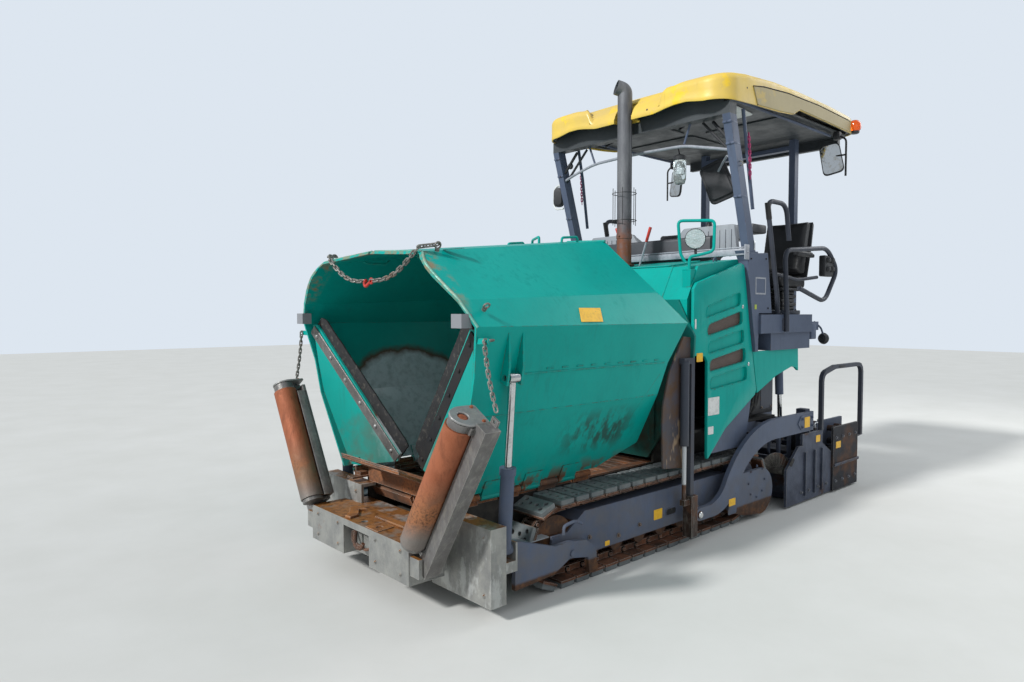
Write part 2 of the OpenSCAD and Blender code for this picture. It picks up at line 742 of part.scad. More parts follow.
console_half = 560;
module console() color(dark) translate([0, 0, platform_z]) {
    // Desk that slopes to the seats, with a hooded panel in its middle
    side_profile([
        [hood_rear - seat_gap, 0], [hood_rear - seat_gap, 630], [-450, 640], [-640, 550], [-640, 490],
        [-560, 450], [-560, 0],
    ], -console_half, console_half);
    side_profile([[-450, 630], [-480, 930], [-560, 1060], [-600, 930], [-560, 580]], -150, 150);
    // Stick of the steering and drive
    translate([-600, 380, 520]) rotate([0, -15, 0]) cylinder(h = 210, d = 24);
    translate([-655, 380, 720]) sphere(d = 60);
}

seat_half = 150;
seat_y = platform_half - 210;
module seats() color(dark) both_sides() translate([0, seat_y, platform_z]) {
    // Foot and bellows
    box([-1470, -seat_half, 0], [-1170, seat_half, 70]);
    box([-1440, -seat_half + 30, 70], [-1200, seat_half - 30, 220]);
    // Cushion with a raised front edge
    side_profile([
        [-1560, 220], [-1110, 220], [-1070, 270], [-1080, 340], [-1150, 365], [-1400, 335], [-1560, 340],
    ], -seat_half - 20, seat_half + 20);
    // Back, bent at the lumbar
    side_profile([
        [-1440, 330], [-1570, 330], [-1620, 530], [-1680, 810], [-1650, 850], [-1590, 840], [-1530, 570],
    ], -seat_half, seat_half);
}

rail_d = 40;
rail_bend = 90;
module rails() color(grey) both_sides() {
    translate([0, 0, platform_z]) tube_xz([
        [-957, 0], [-957, 120], [-764, 918], [-1080, 918], [-1140, 620],
    ], platform_half - 70, rail_bend, rail_d);
    translate([0, 0, platform_z]) tube_xz([
        [-946, -140], [-946, -30], [-894, 521], [-1662, 583], [-1874, 399], [-1622, 108], [-1147, 220],
    ], platform_half + 20, rail_bend, rail_d);
}

module exhaust_pipe() {
    x = exhaust_x;
    color(dark) difference() {
        translate([x, 0, engine_top]) cylinder(h = exhaust_z - engine_top, d = exhaust_d);
        translate([x, 0, 2200]) cylinder(h = 2000, d = exhaust_d - 12);
        translate([x - 100, -200, exhaust_z - 60]) rotate([0, -30, 0]) box([0, 0, 0], [400, 400, 200]);
    }
}

// Work light in a tube guard, on its stem
lamp_d = 160;
lamp_z = 2190;
module work_lights() both_sides() {
    ring = 100;
    low = lamp_z - ring - 10;
    color(dark) translate([light_x - 30, light_y, lamp_z]) rotate([0, 90, 0]) cylinder(h = 60, d = lamp_d);
    color(green) box([light_x - 9, light_y - 9, light_foot_z],
        [light_x + 9, light_y + 9, lamp_z - lamp_d / 2 + 5]);
    color(green) tube_yz([
        [light_y - 4, low], [light_y - ring, low], [light_y - ring, lamp_z + ring],
        [light_y + ring, lamp_z + ring],
        [light_y + ring, low], [light_y + 4, low],
    ], light_x, 30, 18);
}

// Canopy: a hollow roof with a yellow shell, open underneath
roof_front = 20;
roof_rear = -2310;
roof_low = canopy_z - 300;
roof_wall = 50;
roof_corner = 180;
beam_low = roof_low - 90;
liner_z = roof_low + 85;
liner_h = 15;
roof_mid = -1080;
// Recess of the roof round the exhaust pipe
module exhaust_notch() {
    translate([exhaust_x, 0, beam_low - 50]) cylinder(h = canopy_z, d = exhaust_d + 50);
    box([exhaust_x, -exhaust_d / 2 - 25, beam_low - 50],
        [exhaust_x + 200, exhaust_d / 2 + 25, canopy_z + 100]);
}
// Outline of the roof from above with its round corners, set in by the given distance
function roof_plan(inset) = let (
        r = roof_corner - inset,
        y = roof_half - roof_corner,
        x0 = roof_rear + roof_corner,
        x1 = roof_front - roof_corner
    ) concat(arc(x1, y, r, 0, 90, 5), arc(x0, y, r, 90, 180, 5), arc(x0, -y, r, 180, 270, 5),
        arc(x1, -y, r, 270, 360, 5));
// The roof's volume: its outline from above, cut by its bowed top and its sloping shoulders
module roof_body(inset, low) intersection() {
    translate([0, 0, low]) linear_extrude(canopy_z) polygon(roof_plan(inset));
    side_profile([
        [roof_front + 1, low], [roof_front + 1, canopy_z - 170 - inset],
        [roof_front - 80, canopy_z - 90 - inset],
        [-330, canopy_z - 45 - inset], [-900, canopy_z - inset], [-1500, canopy_z - inset],
        [-2200, canopy_z - 25 - inset],
        [roof_rear - 1, canopy_z - 60 - inset], [roof_rear - 1, low],
    ], -roof_half, roof_half);
    cross_profile([
        [-roof_half, low], [-roof_half, canopy_z - 60 - inset], [70 - roof_half, canopy_z - inset],
        [roof_half - 70, canopy_z - inset], [roof_half, canopy_z - 60 - inset], [roof_half, low],
    ], roof_rear, roof_front);
}
module canopy_roof() {
    color(yellow) difference() {
        roof_body(0, roof_low);
        roof_body(roof_wall, roof_low - 50);
        exhaust_notch();
        // Lower edge of the sides, stepped up behind the middle
        side_profile([
            [-230, roof_low - 10], [-400, roof_low + 12], [roof_mid + 70, roof_low + 55],
            [roof_mid - 70, roof_low + 110],
            [-2100, roof_low + 100], [roof_rear - 10, roof_low + 120], [roof_rear - 10, roof_low - 10],
        ], -roof_half - 10, roof_half + 10);
        // Wave in the lower edge of the front
        both_sides() cross_profile([
            [380, roof_low - 10], [480, roof_low + 30], [600, roof_low + 30], [700, roof_low - 10],
        ], roof_front - 100, roof_front + 10);
    }
    color("orange") translate([-2030, roof_half - 25, canopy_z - 190]) cylinder(h = 110, d = 90);
}

// Grey liner under the roof, with its front and rear beams
module canopy_liner() color(grey) {
    difference() {
        translate([0, 0, liner_z]) linear_extrude(liner_h) polygon(roof_plan(roof_wall + seat_gap));
        exhaust_notch();
    }
    box([post_top - post_w, -bay_half - 25, beam_low], [post_top, bay_half + 25, roof_low - seat_gap]);
    box([post_top - post_w, 75 - roof_half, roof_low - 1], [post_top, roof_half - 75, liner_z]);
    box([roof_rear + 110, -roof_half + 120, beam_low + 90], [roof_rear + 160, roof_half - 120, liner_z]);
}
post_top = -97;
post_w = 90;
rear_post_x = roof_rear + 360;
rear_post_y = 510;
module canopy_posts() {
    color(grey) both_sides() side_profile([
        [-400, column_top], [-400 - post_w, column_top], [post_top - post_w, beam_low], [post_top, beam_low],
    ], deck_half + 20, bay_half + 25);
    color(dark) both_sides()
        box([rear_post_x - 35, rear_post_y - 60, platform_z - 70], [rear_post_x + 35, rear_post_y, liner_z]);
    color(dark) box([rear_post_x - 35, -rear_post_y, roof_low - 10],
        [rear_post_x + 35, rear_post_y, roof_low + 30]);
}

module mirrors() color(dark) {
    both_sides() {
        box([rear_post_x - 15, roof_half - 5, roof_low - 310],
            [rear_post_x + 15, roof_half + 155, roof_low - 110]);
        tube_yz([
            [rear_post_y, roof_low - 40], [roof_half + 75, roof_low - 40], [roof_half + 75, roof_low - 115],
        ], rear_post_x, 40, 20);
    }
}

// Levelling: guide rail and cylinder barrel on the body, sliding tow point below
rail_x0 = 335;
rail_x1 = 375;
rail_y0 = bay_half - 10;
rail_y1 = rail_y0 + 45;
tow_in = rail_y0 - 4;
tow_out = arm_y1 + 10;
level_x = 432;
level_rod_d = 30;
block_top = 362;
level_travel = 200;
module levelling_rails() both_sides() {
    color(grey) box([rail_x0, rail_y0, 250], [rail_x1, rail_y1, 1330]);
    // Brackets on the cheek plates
    color(grey) for (z = [block_top + level_travel + 40, 1120])
        box([rail_x0 + 10, cheek_y1, z], [rail_x1 - 5, rail_y0, z + 120]);
    color(dark) translate([level_x, rail_y0 + 30, 0]) difference() {
        translate([0, 0, 720]) cylinder(h = 590, d = 60);
        translate([0, 0, 700]) cylinder(h = 420, d = level_rod_d + 2 * seat_gap);
    }
    color(grey) box([rail_x1 - 5, rail_y0, 1290], [level_x + 28, rail_y1, 1330]);
}
module tow_points() both_sides() {
    // Block that runs on the rail
    color(rust) difference() {
        box([rail_x0 - 17, tow_in, 70], [rail_x1 + 17, tow_out + 8, block_top]);
        box([rail_x0 - 5, tow_in - 6, 60], [rail_x1 + 5, rail_y1 + 5, block_top + 10]);
    }
    // Ear and pin that carry the arm
    color(rust) box([tow_x - 45, tow_in, tow_z - 50], [rail_x0 - 17, bay_half, tow_z + 50]);
    color(steel) translate([tow_x, bay_half, tow_z]) rotate([-90, 0, 0]) cylinder(h = 50, d = tow_pin_d);
    // Rod of the levelling cylinder
    color(steel) translate([level_x, rail_y0 + 30, block_top - 40]) cylinder(h = 420, d = level_rod_d);
    color(rust) box([rail_x1 + 17, rail_y0 + 10, block_top - 60],
        [level_x + 20, rail_y0 + 50, block_top - 20]);
}
tow_pin_d = 50;

// Tow arm: a level bar that bends down to the tow point in two arcs
arm_rear = -1500;
arm_top_z = 700;
arm_w = 165;
arm_turn = 55;
arm_r1 = 350;
arm_low_x = 120;
arm_r2 = (arm_top_z - tow_z) / (1 - cos(arm_turn)) - arm_r1;
arm_bend_x = arm_low_x - arm_r1 * sin(arm_turn) - arm_r2 * sin(arm_turn);
// One edge of the arm, offset by half its width from the middle line
function arm_edge(side) = concat(
    [[tow_x, tow_z + side * 45]],
    [for (a = [0 : 5 : arm_turn]) let (w = side * (45 + (arm_w / 2 - 45) * a / arm_turn))
        [arm_low_x - (arm_r1 - w) * sin(a), tow_z + arm_r1 - (arm_r1 - w) * cos(a)]],
    [for (a = [arm_turn : -5 : 0]) let (w = side * arm_w / 2)
        [arm_bend_x + (arm_r2 + w) * sin(a), arm_top_z - arm_r2 + (arm_r2 + w) * cos(a)]],
    [[arm_rear, arm_top_z + side * arm_w / 2]]
);
module tow_arms() color(grey) both_sides() difference() {
    union() {
        side_profile(concat(arm_edge(1), [for (i = [len(arm_edge(-1)) - 1 : -1 : 0]) arm_edge(-1)[i]]),
            arm_y0, arm_y1);
        translate([tow_x, arm_y0, tow_z]) rotate([-90, 0, 0]) cylinder(h = arm_y1 - arm_y0, r = 45);
    }
    translate([tow_x, arm_y0 - 10, tow_z]) rotate([-90, 0, 0]) cylinder(h = 60, d = tow_pin_d + 2 * seat_gap);
}

// Screed: hollow beam with its side plates
screed_front = -1250;
screed_back = -1860;
module screed_main() {
    half = screed_half;
    color(dark) difference() {
        side_profile([
            [screed_front, screed_gap + 60], [screed_front, 380], [screed_back, 380],
            [screed_back, screed_gap], [screed_front - 40, screed_gap],
        ], -half + 20, half - 20);
        side_profile([
            [screed_front - 30, screed_gap + 80], [screed_front - 30, 420], [screed_back + 30, 420],
            [screed_back + 30, screed_gap + 60],
        ], -half + 50, half - 50);
    }
    // Uprights to the arms
    color(grey) both_sides() box([arm_rear, half - 120, 380], [arm_rear + 80, arm_y0, 800]);
}

// Slotted ears of the lift cylinders on the screed's back, cut away over the augers
module screed_lift_ears() color(grey) both_sides() for (y = [lift_y - 54, lift_y + 42]) difference() {
    side_profile([
        [-1430, 330], [screed_front - 30, 330], [screed_front - 30, 380], [lift_foot[0] + 82, 380],
        [lift_foot[0] + 122, 430], [lift_foot[0] + 122, lift_foot[1] + 75], [-1430, lift_foot[1] + 75],
    ], y, y + 12);
    box([lift_foot[0] - 40, y - 5, lift_foot[1] - 28 - level_travel],
        [lift_foot[0] + 88, y + 20, lift_foot[1] + 24]);
}

// Side plates that close the ends of the screed and the auger space
module screed_side_plates() color(grey) both_sides() side_profile([
    [-1020, screed_gap], [-1020, 330], [-1230, 500], [-1300, 500], [-1300, 600], [-1680, 600], [-1680, 480],
    [screed_back, 380], [screed_back, screed_gap],
], screed_half - 20, screed_half + 2);

// Guide plates of the extensions
module screed_guides() color(grey) both_sides() for (y = [60, screed_half - 140]) difference() {
    box([ext_rear - 30, y, 388], [screed_back + 30, y + 24, 640]);
    for (x = ext_rods, z = ext_rod_z) translate([x, y - 5, z]) rotate([-90, 0, 0])
        cylinder(h = 40, d = ext_rod_d + 2 * seat_gap);
}
ext_rods = [-2200, -2060];
ext_rod_z = [440, 560];
ext_rod_d = 56;
ext_rear = -2330;

ext_w = screed_half - 30;
module screed_extension(side) flip(side) {
    half = screed_half;
    front = screed_back - clearance;
    color(dark) box([ext_rear, half - ext_w, screed_gap], [front, half, 380]);
    color(grey) box([ext_rear - 70, half, screed_gap], [front, half + 20, 600]);
    // Guide rods of this side, long enough for the whole travel
    color(steel) for (z = ext_rod_z) translate([ext_rods[side > 0 ? 1 : 0], -ext_rod_in, z])
        rotate([-90, 0, 0])
        cylinder(h = ext_rod_in + half + 5, d = ext_rod_d);
}
ext_rod_in = screed_half - 60;

module auger_carrier() color(grey) {
    box([auger_x - 50, -gear_half, 250], [chassis_rear - 20, gear_half, 760]);
    box([auger_x + 10, 20 - chassis_half, 710], [chassis_rear - 20, chassis_half - 20, 760]);
}
gear_half = 60;
auger_x = -1090;
auger_z = 300;
auger_l = screed_half - gear_half - 60;
flight_pitch = 300;
flight_sector = 14;
// Shaft with a helical flight; the two sides wind against each other
module auger(side) color(steel) flip(side) translate([auger_x, gear_half + seat_gap, auger_z])
    rotate([-90, 0, 0]) {
    cylinder(h = auger_l, d = 60);
    translate([0, 0, 40]) linear_extrude(auger_l - 60, twist = 360 * (auger_l - 60) / flight_pitch,
        slices = 60, segments = 3)
        polygon(concat([[0, 0]], [for (a = [0, flight_sector]) auger_d / 2 * [cos(a), sin(a)]]));
}

module screed_walkway() {
    color(grey) difference() {
        box([rear_x, 20 - screed_half, 440], [ext_rear - 30, screed_half - 20, 480]);
        box([rear_x + 30, 50 - screed_half, 430], [ext_rear - 60, screed_half - 50, 470]);
    }
    color(dark) box([rear_x, 20 - screed_half, 480], [ext_rear - 30, screed_half - 20, 490]);
    color(grey) both_sides() tube_xz([
        [rear_x + 50, 460], [rear_x + 50, 1150], [-1900, 1150], [-1650, 1100], [-1650, 600],
    ], screed_half - 2, 80, 36);
}

// Screed lift cylinders: top pivot under the platform, pin below in a long slot
lift_x = -1280;
lift_y = bay_half - 180;
lift_top = 1290;
lift_foot = [-1330, 625];
lift_rod_d = 40;
lift_barrel_l = 362;
lift_rod_z0 = 336;
lift_len = norm([lift_foot[0] - lift_x, lift_foot[1] - lift_top]);
lift_lean = atan2(lift_x - lift_foot[0], lift_top - lift_foot[1]);
module lift_frame() translate([lift_x, lift_y, lift_top]) rotate([0, lift_lean + 180, 0]) children();
module screed_lift_barrels() color(grey) both_sides() lift_frame() difference() {
    union() {
        translate([0, 0, 30]) cylinder(h = 20, d = 50);
        translate([0, 0, 48]) cylinder(h = lift_barrel_l - 48, d = 70);
        rotate([90, 0, 0]) cylinder(h = 60, d = 70, center = true);
    }
    rotate([90, 0, 0]) cylinder(h = 100, d = 32, center = true);
    translate([0, 0, 58]) cylinder(h = lift_barrel_l, d = lift_rod_d + 2 * seat_gap);
}
module screed_lift_rods() color(steel) both_sides() lift_frame() {
    translate([0, 0, lift_rod_z0]) cylinder(h = lift_len - lift_rod_z0, d = lift_rod_d);
    translate([0, 0, lift_len]) rotate([90, 0, 0]) cylinder(h = 50, d = 50, center = true);
    translate([0, 0, lift_len]) rotate([90, 0, 0]) cylinder(h = 114, d = 28, center = true);
}

chassis();
hopper_floor();
conveyor(1);  // conveyor_left
conveyor(-1);  // conveyor_right
hopper_rear_wall();
push_beam();
roller_carrier(1);  // roller_carrier_left
roller_carrier(-1);  // roller_carrier_right
push_roller(1);  // push_roller_left
push_roller(-1);  // push_roller_right
wing();  // hopper_wing_left
right_side() wing();  // hopper_wing_right
apron_seal();  // apron_seal_left
right_side() apron_seal();  // apron_seal_right
wing_barrel(1);  // wing_barrel_left
wing_barrel(-1);  // wing_barrel_right
wing_rod(1);  // wing_rod_left
wing_rod(-1);  // wing_rod_right
hold_chain(1);  // hold_chain_left
hold_chain(-1);  // hold_chain_right
track();  // track_left
right_side() track();  // track_right
track_frame_side();  // track_frame_left
right_side() track_frame_side();  // track_frame_right
engine_block();
hood();
side_door(1);  // side_door_left
side_door(-1);  // side_door_right
rear_panels();
side_columns();
fuel_tank();
platform();
console();
seats();
rails();
exhaust_pipe();
work_lights();
canopy_roof();
canopy_liner();
canopy_posts();
mirrors();
levelling_rails();
tow_points();
tow_arms();
screed_main();
screed_lift_ears();
screed_side_plates();
screed_guides();
screed_extension(1);  // screed_extension_left
screed_extension(-1);  // screed_extension_right
auger(1);  // auger_left
auger(-1);  // auger_right
auger_carrier();
screed_walkway();
screed_lift_barrels();
screed_lift_rods();
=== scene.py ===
"""Looks of a compact tracked asphalt paver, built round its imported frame.

Metres throughout: X forward to the hopper, Y to the machine's left, Z up.
"""

import math

import bmesh
import bpy
from mathutils import Matrix, Vector


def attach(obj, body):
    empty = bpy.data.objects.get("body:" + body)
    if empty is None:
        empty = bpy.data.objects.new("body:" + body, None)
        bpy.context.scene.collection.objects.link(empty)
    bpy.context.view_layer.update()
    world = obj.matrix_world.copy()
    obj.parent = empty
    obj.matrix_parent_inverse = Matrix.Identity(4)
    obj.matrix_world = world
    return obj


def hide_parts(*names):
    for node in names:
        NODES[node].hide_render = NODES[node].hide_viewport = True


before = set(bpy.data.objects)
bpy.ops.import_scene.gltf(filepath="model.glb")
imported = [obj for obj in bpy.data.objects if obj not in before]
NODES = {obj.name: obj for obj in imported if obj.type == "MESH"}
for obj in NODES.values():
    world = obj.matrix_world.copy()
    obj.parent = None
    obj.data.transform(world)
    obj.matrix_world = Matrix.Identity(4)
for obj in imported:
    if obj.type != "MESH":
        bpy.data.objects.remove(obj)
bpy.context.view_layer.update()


# Colour and shading

def linear(hex_colour):
    """An sRGB hex value as linear RGBA."""
    channels = [int(hex_colour[i:i + 2], 16) / 255 for i in (1, 3, 5)]
    return tuple(c / 12.92 if c <= 0.04045 else ((c + 0.055) / 1.055) ** 2.4 for c in channels) + (1.0,)


def add(tree, kind, inputs=None, **settings):
    """Adds one shader node; inputs holds values or sockets by name or number."""
    made = tree.nodes.new("ShaderNode" + kind)
    for key, value in settings.items():
        setattr(made, key, value)
    for key, value in (inputs or {}).items():
        if isinstance(value, bpy.types.NodeSocket):
            tree.links.new(value, made.inputs[key])
        elif isinstance(value, str):
            made.inputs[key].default_value = linear(value)
        else:
            made.inputs[key].default_value = value
    return made


def patches(tree, place, size, low, high, stretch=(1, 1, 1), shift=0.0, detail=5.0):
    """Mask of soft patches about size metres across; low to high is where they fade in."""
    scaled = add(tree, "Mapping", {"Vector": place, "Location": (shift, shift * 0.7, shift * 1.3),
                                   "Scale": tuple(s / size for s in stretch)})
    noise = add(tree, "TexNoise", {"Vector": scaled.outputs[0], "Scale": 1.0, "Detail": detail,
                                   "Roughness": 0.62})
    return add(tree, "MapRange", {"Value": noise.outputs[0], "From Min": low, "From Max": high}).outputs[0]


def worn_edges(tree, radius):
    """Mask of the corners of a form, where paint rubs off."""
    rounded = add(tree, "Bevel", {"Radius": radius}, samples=4)
    flat = add(tree, "NewGeometry")
    agree = add(tree, "VectorMath", {0: rounded.outputs[0], 1: flat.outputs["Normal"]}, operation="DOT_PRODUCT")
    return add(tree, "MapRange", {"Value": agree.outputs["Value"], "From Min": 0.985, "From Max": 0.86}).outputs[0]


def between(tree, value, low, high):
    """Mask that rises from 0 at low to 1 at high."""
    return add(tree, "MapRange", {"Value": value, "From Min": low, "From Max": high}).outputs[0]


def times(tree, a, b):
    """Product of two masks or numbers."""
    return add(tree, "Math", {0: a, 1: b}, operation="MULTIPLY").outputs[0]


def either(tree, a, b):
    """The greater of two masks."""
    return add(tree, "Math", {0: a, 1: b}, operation="MAXIMUM").outputs[0]


def coat(tree, mask, under, over):
    """Colour under with colour over where the mask is 1."""
    return add(tree, "Mix", {0: mask, 6: under, 7: over}, data_type="RGBA").outputs[2]


def level(tree, mask, low, high):
    """A number that goes from low to high with the mask."""
    return add(tree, "MapRange", {"Value": mask, "To Min": low, "To Max": high}).outputs[0]


class Finish:
    """A material under way: its tree, its shader, and the place on the piece in metres."""

    def __init__(self, name, metallic=0.0, roughness=0.5, **fixed):
        self.material = bpy.data.materials.new(name)
        self.material.use_nodes = True
        self.tree = self.material.node_tree
        self.shader = self.tree.nodes["Principled BSDF"]
        self.coordinates = add(self.tree, "TexCoord")
        self.place = self.coordinates.outputs["Object"]
        self.axes = add(self.tree, "SeparateXYZ", {0: self.place}).outputs
        self.facing = add(self.tree, "SeparateXYZ", {0: self.coordinates.outputs["Normal"]}).outputs
        self.shader.inputs["Metallic"].default_value = metallic
        self.shader.inputs["Roughness"].default_value = roughness
        for key, value in fixed.items():
            self.shader.inputs[key.replace("_", " ")].default_value = value

    def mask(self, *args, **more):
        return patches(self.tree, self.place, *args, **more)

    def set(self, name, value):
        if isinstance(value, bpy.types.NodeSocket):
            self.tree.links.new(value, self.shader.inputs[name])
        else:
            self.shader.inputs[name].default_value = linear(value) if isinstance(value, str) else value

    def relief(self, height, depth, under=None):
        """Bump from a height mask; depth is its real height in metres."""
        inputs = {"Height": height, "Distance": depth, "Strength": 1.0}
        if under is not None:
            inputs["Normal"] = under
        bump = add(self.tree, "Bump", inputs)
        self.set("Normal", bump.outputs[0])
        return bump.outputs[0]


def enamel(name, paint, faded, chips=0.5, dirt=0.3, grime="#3A342C", gloss=0.36, extra=None):
    """Sprayed machine enamel on plate: sun-faded patches, runs of dirt, rubbed and rusty corners."""
    f = Finish(name, roughness=gloss, Specular_IOR_Level=0.14)
    t = f.tree
    colour = coat(t, f.mask(0.8, 0.36, 0.68), paint, faded)
    # Fine mottling of old paint, 3 cm patches
    colour = coat(t, times(t, f.mask(0.03, 0.45, 0.8, shift=3.0), 0.25), colour, faded)
    # Dirt that has run down, drawn in streaks 4 cm apart
    runs = times(t, f.mask(0.04, 0.5, 0.82, stretch=(1, 1, 0.09), shift=8.0), f.mask(0.5, 0.4, 0.7, shift=5.0))
    colour = coat(t, times(t, runs, dirt), colour, grime)
    # Spray from the ground on the lower half
    low = times(t, between(t, f.axes[2], 0.9, 0.05), f.mask(0.12, 0.35, 0.75, shift=11.0))
    colour = coat(t, times(t, low, dirt * 1.4), colour, "#6E675C")
    # Long thin scratches
    scratch = f.mask(0.006, 0.70, 0.78, stretch=(0.08, 0.9, 0.5), shift=17.0, detail=2.0)
    colour = coat(t, times(t, scratch, 0.5), colour, faded)
    # Chips at the corners: bare metal that has browned
    corner = worn_edges(t, 0.006)
    chipped = times(t, corner, f.mask(0.05, 0.62 - chips * 0.2, 0.72 - chips * 0.2, shift=2.0))
    colour = coat(t, chipped, colour, "#5B4334")
    if extra:
        colour = extra(f, colour)
    f.set("Base Color", colour)
    f.set("Roughness", level(t, either(t, chipped, either(t, low, runs)), gloss, 0.8))
    # Orange peel of sprayed paint, 4 mm, and the depth of the chips
    peel = f.mask(0.02, 0.2, 0.8, detail=1.0)
    skin = f.relief(peel, 0.0003)
    f.relief(add(t, "Math", {0: 1.0, 1: chipped}, operation="SUBTRACT").outputs[0], 0.0004, skin)
    return f.material


def worn_plate(name, steel, dark, rust, rust_low, rust_high, scuffs="#A9A79C", roughness=0.45, extra=None):
    """Plate that has lost its paint: ground by use, dull silver with rust and old paint in the hollows."""
    f = Finish(name, roughness=roughness)
    t = f.tree
    colour = coat(t, f.mask(0.12, 0.35, 0.7), steel, dark)
    scuffed = times(t, f.mask(0.03, 0.5, 0.72, stretch=(1, 1, 0.35), shift=4.0), 0.35)
    colour = coat(t, scuffed, colour, scuffs)
    rusty = f.mask(0.22, rust_low, rust_high, shift=9.0, detail=8.0)
    colour = coat(t, rusty, colour, rust)
    colour = coat(t, times(t, rusty, f.mask(0.015, 0.45, 0.7, shift=6.0)), colour, "#4A3224")
    corner = worn_edges(t, 0.005)
    colour = coat(t, times(t, corner, 0.6), colour, "#B9B7B0")
    if extra:
        colour = extra(f, colour)
    f.set("Base Color", colour)
    f.set("Metallic", level(t, rusty, 0.45, 0.0))
    f.set("Roughness", level(t, rusty, roughness, 0.9))
    f.relief(f.mask(0.012, 0.3, 0.75, shift=1.0, detail=8.0), 0.0012)
    return f.material


def reach_from(tree, f, middle, half):
    """Distance from the middle of an ellipse in X and Z, in parts of its own reach: 1 on its rim."""
    parts = []
    for axis, centre, size in zip((0, 2), middle, half):
        off = add(tree, "Math", {0: f.axes[axis], 1: centre}, operation="SUBTRACT").outputs[0]
        parts.append(times(tree, off, 1.0 / size))
    across = add(tree, "CombineXYZ", {0: parts[0], 1: parts[1]}).outputs[0]
    return add(tree, "VectorMath", {0: across}, operation="LENGTH").outputs["Value"]


def out_from(tree, f):
    """Distance from the machine's middle plane."""
    return add(tree, "Math", {0: f.axes[1]}, operation="ABSOLUTE").outputs[0]


def make_finishes():
    """Every finish on the machine, by its own name."""
    made = {}

    def wing_marks(f, colour):
        t = f.tree
        # Black scrapes where mix has run over the lower rear of the wing
        scrapes = times(t, between(t, f.axes[0], 0.75, 0.95), between(t, f.axes[0], 1.55, 1.3))
        scrapes = times(t, scrapes, times(t, between(t, f.axes[2], 0.72, 0.82), between(t, f.axes[2], 1.06, 0.94)))
        scrapes = times(t, scrapes, f.mask(0.07, 0.44, 0.56, stretch=(1, 1, 0.35), shift=21.0))
        colour = coat(t, times(t, scrapes, 0.8), colour, "#2E3A32")
        # Rusty rubbing along the foot of the wing
        foot = times(t, between(t, f.axes[2], 0.72, 0.6), f.mask(0.16, 0.5, 0.56, shift=14.0))
        colour = coat(t, foot, colour, "#6A4A38")
        # Bright rim where the lorry's flap has rubbed the front edge
        rim = times(t, between(t, f.axes[0], 2.3, 2.36), f.mask(0.07, 0.45, 0.62, stretch=(1, 1, 1), shift=31.0))
        rim = times(t, rim, between(t, f.axes[2], 1.6, 1.75))
        colour = coat(t, times(t, rim, 0.9), colour, "#8C7A5E")
        # Inner faces: painted shade darkens them lower down; mix has ground the inside: a round bare patch with a
        # rusty rim, brown stain beside it
        inward = times(t, f.facing[1], f.axes[1])
        inside = between(t, inward, 0.0, -0.15)
        # Painted shade: the inner faces darken towards the floor of the hopper
        colour = coat(t, times(t, inside, times(t, between(t, f.axes[2], 1.5, 0.7), 0.4)), colour, "#35493F")
        wobble = level(t, f.mask(0.25, 0.3, 0.7, shift=12.0), -0.06, 0.06)
        reach = add(t, "Math", {0: reach_from(t, f, (1.56, 0.85), (0.60, 0.52)), 1: wobble}).outputs[0]
        colour = coat(t, times(t, inside, between(t, reach, 1.10, 1.0)), colour, "#5E4433")
        bare = times(t, inside, between(t, reach, 1.0, 0.90))
        colour = coat(t, bare, colour, "#C3CED2")
        colour = coat(t, times(t, bare, f.mask(0.05, 0.45, 0.7, shift=18.0)), colour, "#A5B0B4")
        # Worn stop block at the front corner
        corner = times(t, between(t, f.axes[0], 2.340, 2.343), between(t, f.axes[2], 1.644, 1.640))
        corner = times(t, corner, times(t, between(t, f.axes[2], 1.562, 1.566),
                                        between(t, out_from(t, f), 0.835, 0.838)))
        corner = times(t, corner, between(t, out_from(t, f), 0.93, 0.926))
        return coat(t, corner, colour, "#84868A")

    def wall_marks(f, colour):
        t = f.tree
        # Brown stain of old mix on the lower half of the wall
        stain = times(t, between(t, f.axes[2], 1.5, 0.8), f.mask(0.3, 0.3, 0.6, shift=12.0))
        return coat(t, stain, colour, "#4E4436")

    def cheek_marks(f, colour):
        t = f.tree
        # The cheeks outside the hopper are brown with old mix, with a bright scrape
        colour = coat(t, f.mask(0.3, 0.45, 0.6, shift=23.0), colour, "#5F4A3A")
        scrape = f.mask(0.12, 0.62, 0.66, stretch=(1, 1, 0.4), shift=29.0, detail=3.0)
        return coat(t, times(t, scrape, 0.8), colour, "#A58E74")

    def frame_marks(f, colour):
        t = f.tree
        # Wheels and the lower edge are brown with mud and rust
        low = between(t, f.axes[2], 0.150, 0.135)
        wheel = times(t, between(t, f.axes[0], 1.42, 1.43), between(t, out_from(t, f), 0.790, 0.785))
        brown = either(t, low, wheel)
        colour = coat(t, brown, colour, "#46342A")
        return coat(t, times(t, brown, f.mask(0.05, 0.45, 0.7, shift=37.0)), colour, "#6B4930")

    def tow_marks(f, colour):
        t = f.tree
        # The rod above the bracket is bright
        return coat(t, between(t, f.axes[2], 0.445, 0.455), colour, "#C4C6C8")

    def beam_top(f, colour):
        t = f.tree
        # Rain stands on the top of the beam: orange rust
        up = between(t, f.facing[2], 0.6, 0.9)
        up = times(t, up, f.mask(0.2, 0.34, 0.5, shift=7.0))
        colour = coat(t, up, colour, "#A9713C")
        colour = coat(t, times(t, up, f.mask(0.04, 0.5, 0.65, shift=27.0)), colour, "#6B4527")
        # Old pale paint on the outer plates
        pale = times(t, between(t, f.axes[0], 2.24, 2.22), f.mask(0.09, 0.52, 0.6, stretch=(1, 1, 0.5), shift=33.0))
        return coat(t, times(t, pale, 0.45), colour, "#CDCFCC")

    def roller_marks(f, colour):
        t = f.tree
        # Orange where the lorry's tyres turn it, grey dust lower down
        top = between(t, f.axes[2], 0.62, 0.82)
        colour = coat(t, top, colour, "#98583A")
        colour = coat(t, times(t, top, f.mask(0.05, 0.5, 0.7, stretch=(1, 1, 0.3), shift=4.0)), colour, "#7A452C")
        return coat(t, between(t, f.axes[2], 0.56, 0.45), colour, "#77706A")

